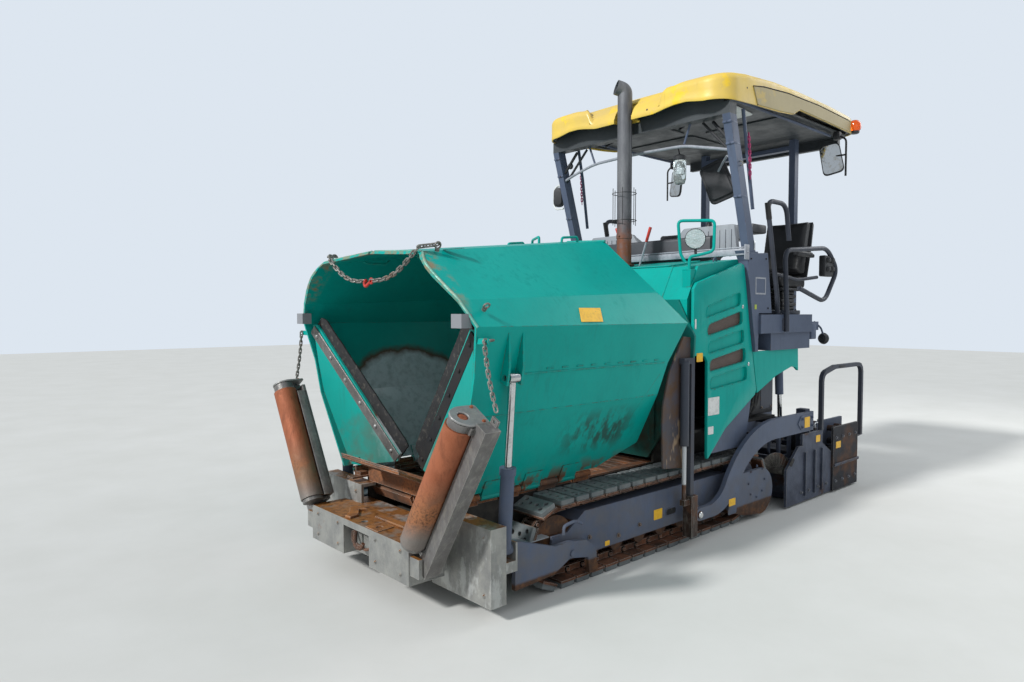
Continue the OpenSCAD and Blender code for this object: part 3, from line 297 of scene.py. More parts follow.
    made["green"] = enamel("turquoise_machine_enamel", "#00968C", "#06A599")
    made["wing"] = enamel("turquoise_wing_enamel", "#00968C", "#05A297", chips=0.9, extra=wing_marks)
    made["grey"] = enamel("blue_grey_machine_enamel", "#4C5669", "#5D677B", chips=0.4, dirt=0.4)
    made["frame"] = enamel("grey_track_frame_enamel", "#4C5669", "#5D677B", chips=0.5, dirt=0.5, extra=frame_marks)
    # Pale grey enamel; also the pale sheet on the front bracket's top, which is a painted highlight
    made["pale_grey"] = enamel("pale_grey_machine_enamel", "#8A8F96", "#A0A4A8", chips=0.3, dirt=0.4)
    made["deep_grey"] = enamel("dark_grey_machine_enamel", "#3B3F48", "#484C56", chips=0.5, dirt=0.5)
    made["grime"] = enamel("oiled_frame_enamel", "#25262A", "#33322F", chips=0.4, dirt=0.6, gloss=0.5)
    # The wall's turquoise is a darker copy of the machine's: painted shade deep in the hopper
    made["wall"] = enamel("turquoise_wall_enamel", "#0A6E66", "#137A72", extra=wall_marks)
    made["cheek"] = enamel("grey_cheek_enamel", "#46464B", "#55535A", chips=0.7, dirt=0.6, extra=cheek_marks)
    made["beam"] = worn_plate("ground_beam_plate", "#9B9B96", "#7C7D7C", "#8A5A3C", 0.66, 0.76, extra=beam_top)
    made["carrier"] = worn_plate("ground_carrier_plate", "#757372", "#5E5B58", "#7A5138", 0.66, 0.76)
    made["bracket"] = worn_plate("pale_bracket_plate", "#8F9090", "#7B7B79", "#7A5138", 0.68, 0.76)
    made["roller"] = worn_plate("rusty_roller_tube", "#82664F", "#735643", "#94603D", 0.45, 0.6, scuffs="#8F7258",
                                roughness=0.6, extra=roller_marks)
    made["rust"] = worn_plate("rusted_floor_plate", "#6A5244", "#4C3C33", "#8E5A36", 0.42, 0.6, scuffs="#8A6B4B",
                              roughness=0.8)
    made["chain"] = worn_plate("rusted_track_chain", "#54392B", "#382822", "#71452B", 0.45, 0.6, scuffs="#83603F",
                               roughness=0.8)
    made["link"] = worn_plate("galvanised_chain", "#77746E", "#504E4A", "#6B4E38", 0.55, 0.66, scuffs="#A3A098")
    made["auger"] = worn_plate("ground_auger_steel", "#6F6B66", "#4B4844", "#6B4A36", 0.5, 0.6)
    made["screed"] = worn_plate("screed_plate_with_old_mix", "#525969", "#3D4250", "#4F3A2D", 0.56, 0.68,
                                scuffs="#646B7A", roughness=0.6)
    made["mixed"] = worn_plate("plate_crusted_with_mix", "#33343A", "#232427", "#5A4030", 0.5, 0.64, scuffs="#474A52",
                               roughness=0.7)
    made["tow"] = worn_plate("rusted_tow_bracket", "#4A382E", "#33302F", "#6E452D", 0.45, 0.6, extra=tow_marks)
    made["chrome"] = chrome_rod()
    # Black rubber; also the black sheets that stand for holes and slots, which are painted shade
    made["rubber"] = rubber("black_rubber_and_painted_hole_shade", "#151516", "#232325")
    made["pad"] = rubber("rubber_track_pad", "#5A6062", "#737776")
    made["plastic"] = moulded("moulded_black_plastic", "#232427", "#2F3033")
    made["console"] = moulded("moulded_grey_plastic", "#3B3D42", "#4A4C51")
    made["liner"] = moulded("moulded_canopy_liner", "#33383B", "#3E4346")
    made["shell"] = canopy_gelcoat()
    made["exhaust"] = exhaust_steel()
    made["seat"] = moulded("grained_seat_vinyl", "#17181A", "#222326", grain=0.004)
    made["glass"] = clear("clear_glass", "#E8F2F0", 1.45, 0.02)
    made["amber"] = clear("amber_lens", "#FF6A1A", 1.49, 0.15)
    made["reflector"] = reflector()
    made["label_yellow"] = plate_colour("yellow_plate", "#EDB81E", "#D8A21A")
    made["label_green"] = plate_colour("yellow_green_plate", "#A9B93A", "#94A236")
    made["label_white"] = plate_colour("white_plate", "#D9DBD8", "#BFC2BF")
    made["red"] = plate_colour("red_lacquer", "#C2362B", "#8E2A22")
    made["pink"] = plate_colour("pink_plastic_chain", "#C2457A", "#A63A66")
    made["wire"] = moulded("hose_rubber", "#1B1B1C", "#262627")
    made["stencil"] = plate_colour("pale_plate", "#8F939B", "#A2A6AD")
    made["lip"] = worn_plate("rubbed_wing_lip", "#8CC0AE", "#46A392", "#A3835E", 0.5, 0.66, scuffs="#D2C9B0")
    made["beam_rust"] = worn_plate("rusty_loose_plate", "#A9713C", "#8A5A30", "#6B4527", 0.5, 0.62, scuffs="#B98A5A",
                                   roughness=0.8)
    made["mesh"] = radiator_mesh()
    made["mirror"] = mirror_glass()
    made["panel"] = panel_gelcoat()
    return made


def chrome_rod():
    """Hard-chromed cylinder rod: ground round, so the sheen runs round it."""
    f = Finish("chromed_rod", metallic=1.0, roughness=0.14)
    f.set("Base Color", coat(f.tree, f.mask(0.03, 0.5, 0.75), "#C9CBCC", "#A5A6A4"))
    f.set("Roughness", level(f.tree, f.mask(0.05, 0.4, 0.7, shift=3.0), 0.12, 0.3))
    return f.material


def rubber(name, colour, dusty):
    """Moulded rubber: dull, with dust in its pores."""
    f = Finish(name, roughness=0.72)
    t = f.tree
    tone = coat(t, f.mask(0.1, 0.4, 0.7), colour, dusty)
    tone = coat(t, times(t, f.mask(0.03, 0.55, 0.75, shift=5.0), 0.6), tone, "#6D685E")
    f.set("Base Color", tone)
    f.relief(f.mask(0.006, 0.3, 0.7), 0.0006)
    return f.material


def moulded(name, colour, worn, grain=0.0025):
    """Moulded plastic or vinyl with a leather grain, drawn at 2.5 to 4 mm so that it shows."""
    f = Finish(name, roughness=0.5)
    t = f.tree
    f.set("Base Color", coat(t, f.mask(0.25, 0.4, 0.75), colour, worn))
    cells = add(t, "TexVoronoi", {"Vector": f.place, "Scale": 1.0 / grain}, feature="SMOOTH_F1")
    f.relief(cells.outputs["Distance"], 0.0003)
    f.set("Roughness", level(t, f.mask(0.15, 0.4, 0.7, shift=6.0), 0.42, 0.65))
    return f.material


def canopy_gelcoat():
    """Glass-fibre roof with a yellow gelcoat: bright in the lee, chalked to straw where the sun falls."""
    f = Finish("yellow_gelcoat", roughness=0.42)
    t = f.tree
    tone = coat(t, f.mask(0.7, 0.4, 0.62), "#E3C148", "#D2B45E")
    bright = times(t, f.mask(0.22, 0.56, 0.62, shift=9.0), between(t, f.axes[0], -0.6, -0.2))
    tone = coat(t, times(t, bright, 0.8), tone, "#EFC61F")
    tone = coat(t, times(t, between(t, f.axes[0], -0.9, -1.6), 0.8), tone, "#CDB87A")
    runs = f.mask(0.03, 0.6, 0.85, stretch=(1, 1, 0.1), shift=4.0)
    tone = coat(t, times(t, runs, 0.35), tone, "#8F7A45")
    f.set("Base Color", tone)
    f.set("Roughness", level(t, f.mask(0.3, 0.4, 0.7, shift=2.0), 0.35, 0.6))
    f.relief(f.mask(0.05, 0.3, 0.7), 0.0006)
    return f.material


def exhaust_steel():
    """Heat-tinted exhaust tube: dull grey, rusty at its foot and streaked by rain."""
    f = Finish("heat_tinted_tube", metallic=0.3, roughness=0.6)
    t = f.tree
    tone = coat(t, f.mask(0.08, 0.35, 0.7, stretch=(1, 1, 0.25)), "#54555A", "#76777A")
    tone = coat(t, times(t, between(t, f.axes[2], 2.42, 2.22), f.mask(0.1, 0.25, 0.5, shift=4.0)), tone, "#7A4A30")
    f.set("Base Color", tone)
    f.relief(f.mask(0.01, 0.3, 0.7), 0.0005)
    return f.material


def clear(name, colour, ior, roughness):
    """Clear or tinted lens."""
    f = Finish(name, roughness=roughness, IOR=ior, Transmission_Weight=0.85)
    f.set("Base Color", coat(f.tree, f.mask(0.05, 0.5, 0.8), colour, "#FFFFFF" if "glass" in name else colour))
    return f.material


def reflector():
    """Bright reflector bowl behind a lamp's glass."""
    f = Finish("aluminised_reflector", metallic=1.0, roughness=0.12)
    cells = add(f.tree, "TexVoronoi", {"Vector": f.place, "Scale": 60.0})
    f.set("Base Color", "#E8E9EA")
    f.relief(cells.outputs["Distance"], 0.002)
    return f.material


def radiator_mesh():
    """Woven wire before the radiator: 8 mm squares, dusty; the squares between the wires are painted dark for the
    radiator and the shade behind them.
    """
    f = Finish("wire_mesh_on_painted_shade", metallic=0.4, roughness=0.6)
    t = f.tree
    wires = add(t, "TexBrick", {"Vector": add(t, "CombineXYZ", {0: f.axes[0], 1: f.axes[2]}).outputs[0], "Scale": 1.0,
                                "Mortar Size": 0.0016, "Brick Width": 0.008, "Row Height": 0.008, "Color1": "#1F1C1B",
                                "Color2": "#262220", "Mortar": "#7C6A62"}, offset=0.0)
    f.set("Base Color", wires.outputs[0])
    f.relief(wires.outputs[1], 0.0015)
    return f.material


def mirror_glass():
    """Silvered mirror, dusty and spotted."""
    f = Finish("silvered_mirror", metallic=1.0, roughness=0.05)
    f.set("Base Color", coat(f.tree, f.mask(0.05, 0.5, 0.75), "#D9DCDD", "#B6AFA0"))
    f.set("Roughness", level(f.tree, f.mask(0.03, 0.45, 0.7, shift=4.0), 0.04, 0.25))
    return f.material


def panel_gelcoat():
    """Straw-coloured side panel of the roof, with the last of its yellow in two patches."""
    f = Finish("chalked_gelcoat_panel", roughness=0.55)
    t = f.tree
    tone = coat(t, f.mask(0.5, 0.35, 0.7), "#A59669", "#9A8B5E")
    last = times(t, f.mask(0.16, 0.54, 0.62, shift=6.0), between(t, f.axes[0], -1.0, -0.6))
    tone = coat(t, times(t, last, 0.6), tone, "#C9A93A")
    tone = coat(t, times(t, f.mask(0.03, 0.6, 0.85, stretch=(1, 1, 0.1), shift=4.0), 0.3), tone, "#8F7A45")
    f.set("Base Color", tone)
    f.relief(f.mask(0.05, 0.3, 0.7), 0.0004)
    return f.material


def plate_colour(name, colour, worn):
    """Plain coloured plate, scuffed by years of washing."""
    f = Finish(name, roughness=0.45)
    t = f.tree
    tone = coat(t, f.mask(0.03, 0.45, 0.7), colour, worn)
    f.set("Base Color", coat(t, times(t, f.mask(0.012, 0.62, 0.7, shift=5.0), 0.5), tone, "#6D665C"))
    f.relief(f.mask(0.01, 0.3, 0.7), 0.0002)
    return f.material


FINISH = make_finishes()

NODES_IN = {
    "grime": "chassis engine_block fuel_tank",
    "rust": "hopper_floor conveyor_SIDE",
    "wall": "hopper_rear_wall",
    "beam": "push_beam",
    "carrier": "roller_carrier_SIDE",
    "roller": "push_roller_SIDE",
    "wing": "hopper_wing_SIDE",
    "rubber": "apron_seal_SIDE",
    "grey": "wing_barrel_SIDE side_columns screed_lift_ears screed_guides platform canopy_posts tow_arms "
            "screed_lift_barrels",
    "chrome": "wing_rod_SIDE screed_lift_rods",
    "link": "hold_chain_SIDE",
    "chain": "track_SIDE",
    "frame": "track_frame_SIDE",
    "green": "hood side_door_SIDE rear_panels work_lights",
    "liner": "canopy_liner",
    "screed": "screed_side_plates screed_main",
    "console": "console",
    "seat": "seats",
    "deep_grey": "rails levelling_rails auger_carrier screed_walkway",
    "exhaust": "exhaust_pipe",
    "shell": "canopy_roof",
    "plastic": "mirrors",
    "tow": "tow_points",
    "mixed": "screed_extension_SIDE",
    "auger": "auger_SIDE",
}
NODE_FINISH = {name.replace("SIDE", which): finish for finish, names in NODES_IN.items()
               for name in names.split() for which in ("left", "right")}


def dress_nodes():
    """Gives each CAD node its finish."""
    for name, thing in NODES.items():
        finish = FINISH[NODE_FINISH.get(name, "deep_grey")]
        if not thing.data.materials:
            thing.data.materials.append(finish)
        for i in range(len(thing.data.materials)):
            thing.data.materials[i] = finish


dress_nodes()


# Geometry in metres, in the machine's frame

def facing_y(y):
    """Drawing plane of X and Z at the given Y; its depth runs to the left."""
    return Matrix(((1, 0, 0, 0), (0, 0, 1, y), (0, 1, 0, 0), (0, 0, 0, 1)))


def facing_side(s, y, thick):
    """Drawing plane on the left side (s is 1) or the right (-1), for a plate that reaches out from y."""
    return facing_y(y if s > 0 else -y - thick)


def facing_x(x):
    """Drawing plane of Y and Z at the given X; its depth runs forward."""
    return Matrix(((0, 0, 1, x), (1, 0, 0, 0), (0, 1, 0, 0), (0, 0, 0, 1)))


def facing_z(z):
    """Drawing plane of X and Y at the given Z; its depth runs up."""
    return Matrix.Translation((0, 0, z))


def facing(origin, along, across):
    """Drawing plane through origin, along one direction and towards another."""
    u = Vector(along).normalized()
    w = u.cross(Vector(across)).normalized()
    v = w.cross(u)
    return Matrix.Translation(origin) @ Matrix((u, v, w)).transposed().to_4x4()


def circle(x, y, radius, steps=16):
    """Outline of a circle as points."""
    return [(x + radius * math.cos(2 * math.pi * i / steps), y + radius * math.sin(2 * math.pi * i / steps))
            for i in range(steps)]


def rectangle(x0, y0, x1, y1):
    """Outline of a rectangle as points."""
    return [(x0, y0), (x1, y0), (x1, y1), (x0, y1)]


def softened(points, radius, steps=4, closed=True):
    """The points with each corner replaced by an arc that starts radius before it."""
    points = [Vector(p) for p in points]
    out = []
    for i, p in enumerate(points):
        if not closed and i in (0, len(points) - 1):
            out.append(p)
            continue
        a = points[i - 1] - p
        b = points[(i + 1) % len(points)] - p
        reach = min(radius, a.length * 0.48, b.length * 0.48)
        if reach < 1e-5 or a.angle(b) > 3.12:
            out.append(p)
            continue
        start, end = p + a.normalized() * reach, p + b.normalized() * reach
        for k in range(steps + 1):
            t = k / steps
            out.append(start * (1 - t) ** 2 + p * 2 * t * (1 - t) + end * t ** 2)
    return out


def hoop(part, centre, side, other, radius, sides):
    """Ring of corners about a point, in the plane of two directions."""
    return [part.verts.new(centre + (side * math.cos(a) + other * math.sin(a)) * radius)
            for a in (2 * math.pi * k / sides for k in range(sides))]


def skin(part, rings, capped=True):
    """Walls from each ring to the next, and a cap on the first and the last."""
    for one, two in zip(rings, rings[1:]):
        for k in range(len(one)):
            j = (k + 1) % len(one)
            part.faces.new((one[k], one[j], two[j], two[k]))
    if capped:
        part.faces.new(rings[0][::-1])
        part.faces.new(rings[-1])


class Piece:
    """One piece of the scene: shapes in their own finishes, joined in one mesh."""

    def __init__(self, finish):
        self.mesh = bmesh.new()
        self.scratch = bpy.data.meshes.new("scratch")
        self.finishes = []
        self.use(finish)

    def use(self, finish):
        """The finish of the shapes that follow."""
        if finish not in self.finishes:
            self.finishes.append(finish)
        self.index = self.finishes.index(finish)

    def join(self, part, matrix=None):
        """Adds a shape to the piece in the finish in use."""
        if matrix:
            bmesh.ops.transform(part, matrix=matrix, verts=part.verts)
        bmesh.ops.recalc_face_normals(part, faces=part.faces)
        for face in part.faces:
            face.material_index = self.index
        part.to_mesh(self.scratch)
        part.free()
        self.mesh.from_mesh(self.scratch)

    def block(self, low, high, bevel=0.004, turn=None, segments=2):
        """Box between two corners, with rounded edges."""
        part = bmesh.new()
        bmesh.ops.create_cube(part, size=1.0)
        for vert in part.verts:
            vert.co = [high[i] if vert.co[i] > 0 else low[i] for i in range(3)]
        if bevel:
            bmesh.ops.bevel(part, geom=part.edges[:], offset=bevel, segments=segments, profile=0.5,
                            affect="EDGES", clamp_overlap=True, material=-1)
        self.join(part, turn)

    def rod(self, start, end, radius, tip=None, sides=20, bevel=0.0):
        """Round bar or cone between two points."""
        start, end = Vector(start), Vector(end)
        part = bmesh.new()
        bmesh.ops.create_cone(part, cap_ends=True, segments=sides, radius1=radius,
                              radius2=radius if tip is None else tip, depth=(end - start).length)
        if bevel:
            rims = [e for e in part.edges if abs(e.verts[0].co.z - e.verts[1].co.z) < 1e-6]
            bmesh.ops.bevel(part, geom=rims, offset=bevel, segments=2, profile=0.5, affect="EDGES", material=-1)
        turn = (end - start).to_track_quat("Z", "Y").to_matrix().to_4x4()
        self.join(part, Matrix.Translation((start + end) / 2) @ turn)

    def pipe(self, points, radius, bend=0.0, sides=10, closed=False, steps=4):
        """Bent round bar along a path."""
        path = softened(points, bend, steps, closed) if bend else [Vector(p) for p in points]
        count = len(path)
        part = bmesh.new()
        rings = []
        side = None
        for i, p in enumerate(path):
            before = path[i - 1] if i or closed else p
            after = path[(i + 1) % count] if i < count - 1 or closed else p
            ahead = (after - before).normalized()
            if side is None:
                side = ahead.orthogonal().normalized()
            side = (side - ahead * side.dot(ahead)).normalized()
            other = ahead.cross(side)
            rings.append(hoop(part, p, side, other, radius, sides))
        skin(part, rings + rings[:1] if closed else rings, not closed)
        self.join(part)

    def tube(self, points, radius, bore, bend=0.0, sides=28):
        """Pipe with an open far end: its bore runs back in from the mouth."""
        path = softened(points, bend, 8, False) if bend else [Vector(p) for p in points]
        part = bmesh.new()
        rings = []
        side = None
        for r, order in ((radius, path), (bore, path[::-1][:max(2, len(path) // 2)])):
            for p in order:
                i = path.index(p)
                ahead = (path[min(i + 1, len(path) - 1)] - path[max(i - 1, 0)]).normalized()
                side = side or ahead.orthogonal().normalized()
                side = (side - ahead * side.dot(ahead)).normalized()
                other = ahead.cross(side)
                rings.append(hoop(part, p, side, other, r, sides))
        skin(part, rings)
        self.join(part)

    def plate(self, outline, thick, plane, holes=(), bevel=0.002, segments=1):
        """Flat plate of an outline in a drawing plane."""
        part = bmesh.new()
        for loop in (outline, *holes):
            verts = [part.verts.new((p[0], p[1], 0)) for p in loop]
            for i, vert in enumerate(verts):
                part.edges.new((vert, verts[(i + 1) % len(verts)]))
        bmesh.ops.triangle_fill(part, use_beauty=True, edges=part.edges[:])
        grown = bmesh.ops.extrude_face_region(part, geom=part.faces[:], use_keep_orig=True)
        moved = [v for v in grown["geom"] if isinstance(v, bmesh.types.BMVert)]
        bmesh.ops.translate(part, verts=moved, vec=(0, 0, thick))
        bmesh.ops.recalc_face_normals(part, faces=part.faces)
        bmesh.ops.dissolve_limit(part, angle_limit=0.01, verts=part.verts, edges=part.edges)
        if bevel:
            rims = [e for e in part.edges if len(e.link_faces) == 2 and e.calc_face_angle(0) > 1.0
                    and abs(e.verts[0].co.z - e.verts[1].co.z) < 1e-6]
            bmesh.ops.bevel(part, geom=rims, offset=bevel, segments=segments, profile=0.5, affect="EDGES",
                            clamp_overlap=True, material=-1)
        self.join(part, plane)

    def spun(self, profile, origin, axis, sides=24):
        """Shape turned about an axis: profile holds radius and height along the axis."""
        part = bmesh.new()
        rings = [[part.verts.new((r * math.cos(a), r * math.sin(a), h))
                  for a in (2 * math.pi * k / sides for k in range(sides))] for r, h in profile]
        skin(part, rings)
        turn = Vector(axis).to_track_quat("Z", "Y").to_matrix().to_4x4()
        self.join(part, Matrix.Translation(origin) @ turn)

    def bolt(self, at, out, size=0.011):
        """Hexagon bolt on its washer, standing out of a surface."""
        at, out = Vector(at), Vector(out).normalized()
        self.rod(at - out * 0.001, at + out * size * 0.22, size * 1.15, sides=16)
        self.rod(at + out * size * 0.22, at + out * size * 0.95, size * 0.9, size * 0.84, sides=6)
        self.rod(at + out * size * 0.95, at + out * size * 1.25, size * 0.4, size * 0.34, sides=10)

    def ring(self, at, out, radius, wire, across=None, sides=8):
        """Round eye of wire; it stands in the plane of out and across."""
        at, out = Vector(at), Vector(out).normalized()
        side = Vector(across or out.orthogonal()).normalized()
        self.pipe([at + (out * math.sin(a) + side * math.cos(a)) * radius
                   for a in (2 * math.pi * k / 14 for k in range(14))], wire, sides=sides, closed=True)

    def chain(self, points, wire, pitch):
        """Round-link chain: oval links along a path, each turned a quarter to the next."""
        points = [Vector(p) for p in points]
        way = [0.0]
        for a, b in zip(points, points[1:]):
            way.append(way[-1] + (b - a).length)

        def at(s):
            for i in range(len(points) - 1):
                if s <= way[i + 1] or i == len(points) - 2:
                    return points[i].lerp(points[i + 1], (s - way[i]) / max(way[i + 1] - way[i], 1e-9))

        count = max(2, round(way[-1] / pitch))
        for i in range(count):
            s = (i + 0.5) / count * way[-1]
            ahead = (at(min(s + 0.004, way[-1])) - at(max(s - 0.004, 0))).normalized()
            side = ahead.orthogonal().normalized()
            if i % 2:
                side = ahead.cross(side)
            long, wide = pitch * 0.5 - wire * 0.2, wire * 2.0
            loop = []
            for end in (1, -1):
                for k in range(5):
                    a = math.pi * (k / 4 - 0.5)
                    loop.append(at(s) + ahead * end * (long + wide * math.cos(a)) + side * end * wide * math.sin(a))
            self.pipe(loop, wire, sides=6, closed=True)

    def done(self, name, body, slot, *nodes, side="one"):
        """Writes the piece; side is one, or each for a left piece and its mirror image on the right."""
        made = []
        for which in ("left", "right") if side == "each" else ("left",):
            if which == "right":
                bmesh.ops.scale(self.mesh, vec=(1, -1, 1), verts=self.mesh.verts)
                bmesh.ops.reverse_faces(self.mesh, faces=self.mesh.faces)
            thing = self.write(name.replace("SIDE", which))
            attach(thing, body.replace("SIDE", which))
            if nodes:
                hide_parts(*[node.replace("SIDE", which) for node in nodes])
            made.append(thing)
        self.mesh.free()
        bpy.data.meshes.remove(self.scratch)
        return made

    def write(self, name):
        """The piece as an object, with its materials."""
        data = bpy.data.meshes.new(name)
        self.mesh.to_mesh(data)
        for finish in self.finishes:
            data.materials.append(FINISH[finish])
        data.shade_smooth()
        data.set_sharp_from_angle(angle=math.radians(33))
        thing = bpy.data.objects.new(name, data)
        bpy.context.collection.objects.link(thing)
        return thing


# Tracks: shoes with bolted pads on two rows of links, along the belt of part.scad

LINK_H, SHOE_H, TRACK_Y, SHOES = 0.046, 0.046, 0.71, 40
WHEELS = [(1.6, 0.265, 0.173), (-0.6, 0.3, 0.148), (-0.33, 0.152, 0.06)]


def belt_frames():
    """Middle of each shoe on the links' outer face, its way along the belt, and the pitch."""
    runs = []
    for i, (x, z, r) in enumerate(WHEELS):
        nx, nz, nr = WHEELS[(i + 1) % 3]
        gap = math.hypot(nx - x, nz - z)
        out = math.atan2(nz - z, nx - x) - math.acos((r - nr) / gap)
        runs.append((out, math.sqrt(gap ** 2 - (r - nr) ** 2)))
    lengths = []
    for i, (x, z, r) in enumerate(WHEELS):
        turn = (runs[i][0] - runs[i - 1][0]) % (2 * math.pi)
        lengths += [r * turn, runs[i][1]]
    total = sum(lengths)
    frames = []
    for k in range(SHOES):
        way = (k + 0.5) * total / SHOES
        i = 0
        while way > lengths[i]:
            way -= lengths[i]
            i += 1
        x, z, r = WHEELS[i // 2]
        bent = i % 2 == 0
        a = runs[i // 2 - 1][0] + way / r if bent else runs[i // 2][0]
        out = Vector((math.cos(a), 0, math.sin(a)))
        ahead = Vector((-math.sin(a), 0, math.cos(a)))
        at = Vector((x, TRACK_Y, z)) + out * (r + LINK_H) + ahead * (0 if bent else way)
        frames.append((at, ahead, out))
    return frames, total / SHOES


def make_tracks():
    """Both belts: a shoe with its bolted pad, two rows of links with their pins, set along the belt."""
    frames, pitch = belt_frames()
    shoe = Piece("pad")
    half = pitch * 0.455
    shoe.use("chain")
    shoe.block((-half, -0.130, 0), (half, 0.130, 0.016), 0.002, segments=1)
    shoe.use("pad")
    spots = [(u, v) for u in (-0.026, 0.026) for v in (-0.082, 0.082)]
    spots += [(0, -0.03), (0, 0.03)]
    shoe.plate(softened(rectangle(-half + 0.003, -0.125, half - 0.003, 0.125), 0.012, 2), SHOE_H - 0.016,
               facing_z(0.016),
               holes=[circle(u, v, 0.014, 10) for u, v in spots], bevel=0.005)
    shoe.use("grime")
    for u, v in spots:
        shoe.rod((u, v, 0.016), (u, v, 0.027), 0.009, sides=6)
    shoe.mesh.to_mesh(shoe.scratch)
    shoe_mesh = shoe.scratch.copy()
    track = Piece("chain")
    for name in shoe.finishes:
        track.use(name)
    order = {i: track.finishes.index(name) for i, name in enumerate(shoe.finishes)}
    for i, (at, ahead, out) in enumerate(frames):
        spot = Matrix.Translation(at) @ Matrix((ahead, Vector((0, 1, 0)), out)).transposed().to_4x4()
        part = bmesh.new()
        part.from_mesh(shoe_mesh)
        for face in part.faces:
            face.material_index = order[face.material_index]
        bmesh.ops.transform(part, matrix=spot, verts=part.verts)
        if spot.determinant() < 0:
            bmesh.ops.reverse_faces(part, faces=part.faces)
        part.to_mesh(track.scratch)
        part.free()
        track.mesh.from_mesh(track.scratch)
        # Links: an outer and an inner plate on each side, pins between
        pin = (at + frames[(i + 1) % SHOES][0]) / 2 - out * 0.024
        back = (at + frames[i - 1][0]) / 2 - out * 0.024
        track.use("chain")
        run = facing(pin, back - pin,
                     Vector((0, 0, 1)) if abs((back - pin).normalized().z) < 0.9 else Vector((1, 0, 0)))
        length = (back - pin).length
        for v in (-0.052, 0.036):
            eye = softened([(-0.021, -0.02), (length * 0.5, -0.014), (length + 0.021, -0.02), (length + 0.021, 0.02),
                            (length * 0.5, 0.022), (-0.021, 0.02)], 0.017, 3)
            plane = run.copy()
            plane.translation = Vector((pin.x, TRACK_Y + v, pin.z))
            w = plane.to_3x3() @ Vector((0, 0, 1))
            plane.translation = Vector((pin.x, TRACK_Y + v + (0.016 if w.y < 0 else 0), pin.z))
            track.plate(eye, 0.016, plane, bevel=0.0)
        track.rod((pin.x, TRACK_Y - 0.06, pin.z), (pin.x, TRACK_Y + 0.06, pin.z), 0.012, sides=10)
    shoe.mesh.free()
    bpy.data.meshes.remove(shoe.scratch)
    bpy.data.meshes.remove(shoe_mesh)
    track.done("track_shoes_SIDE", "chassis", "rusty_steel", "track_SIDE", side="each")


# Hopper

APRON_NORMAL = Vector((0.97926, -0.19746, -0.04536))
APRON_AT = Vector((2.196, 0.58, 0.58))


def on_apron(y, z, depth=0.0):
    """Point of the apron's plane in front of the plate, depth metres ahead of it."""
    x = APRON_AT.x - (APRON_NORMAL.y * (y - APRON_AT.y) + APRON_NORMAL.z * (z - APRON_AT.z)) / APRON_NORMAL.x
    return Vector((x, y, z)) + APRON_NORMAL * depth


def make_aprons():
    """Strip, bolts and rubber flap along the free edge of each apron plate."""
    low, high = on_apron(0.100, 0.735), on_apron(0.868, 1.560)
    plane = facing(low, high - low, Vector((0, -0.7, 0.7)))
    ahead = 1 if (plane.to_3x3() @ Vector((0, 0, 1))).x > 0 else -1
    run = (high - low).length
    strip = Piece("carrier")
    mark = softened(rectangle(0.0, -0.08, run, -0.006), 0.012, 2)
    side = -1 if (plane.to_3x3() @ Vector((0, 1, 0))).z < 0 else 1
    mark = [(u, v * side) for u, v in mark]
    plane_front = plane @ Matrix.Translation((0, 0, ahead * 0.0005))
    strip.plate(mark, ahead * 0.011, plane_front, bevel=0.0025)
    strip.use("bracket")
    for k in range(6):
        at = plane @ Vector((run * (0.06 + 0.176 * k), -0.043 * side, ahead * 0.0115))
        strip.spun([(0.013, 0.0), (0.0125, 0.005), (0.008, 0.009), (0.003, 0.010)], at, APRON_NORMAL, 14)
    # Rubber flap behind the plate, its free edge hardly worn
    strip.use("rubber")
    edge = [(run * k / 24, (0.100 - 0.004 * abs(math.sin(k * 0.7))) * side) for k in range(1, 24)]
    outline = [(0, -0.058 * side), (run, -0.058 * side), (run, 0.07 * side)] + edge[::-1] + [(0, 0.085 * side)]
    strip.plate(outline, -ahead * 0.013, plane @ Matrix.Translation((0, 0, -ahead * 0.016)), bevel=0.003, segments=2)
    near, _ = strip.done("apron_strip_SIDE", "wing_SIDE", "black_rubber", "apron_seal_SIDE", side="each")
    # The left strip is drawn in the dark oiled finish, the right one in ground steel
    for i, name in enumerate(strip.finishes):
        near.data.materials[i] = FINISH["grime" if name != "rubber" else name]


def wing_side(z):
    """Half width of the wing's upper side plate at the height z."""
    return 0.89 + 0.075 * (z - 1.31) / 0.265


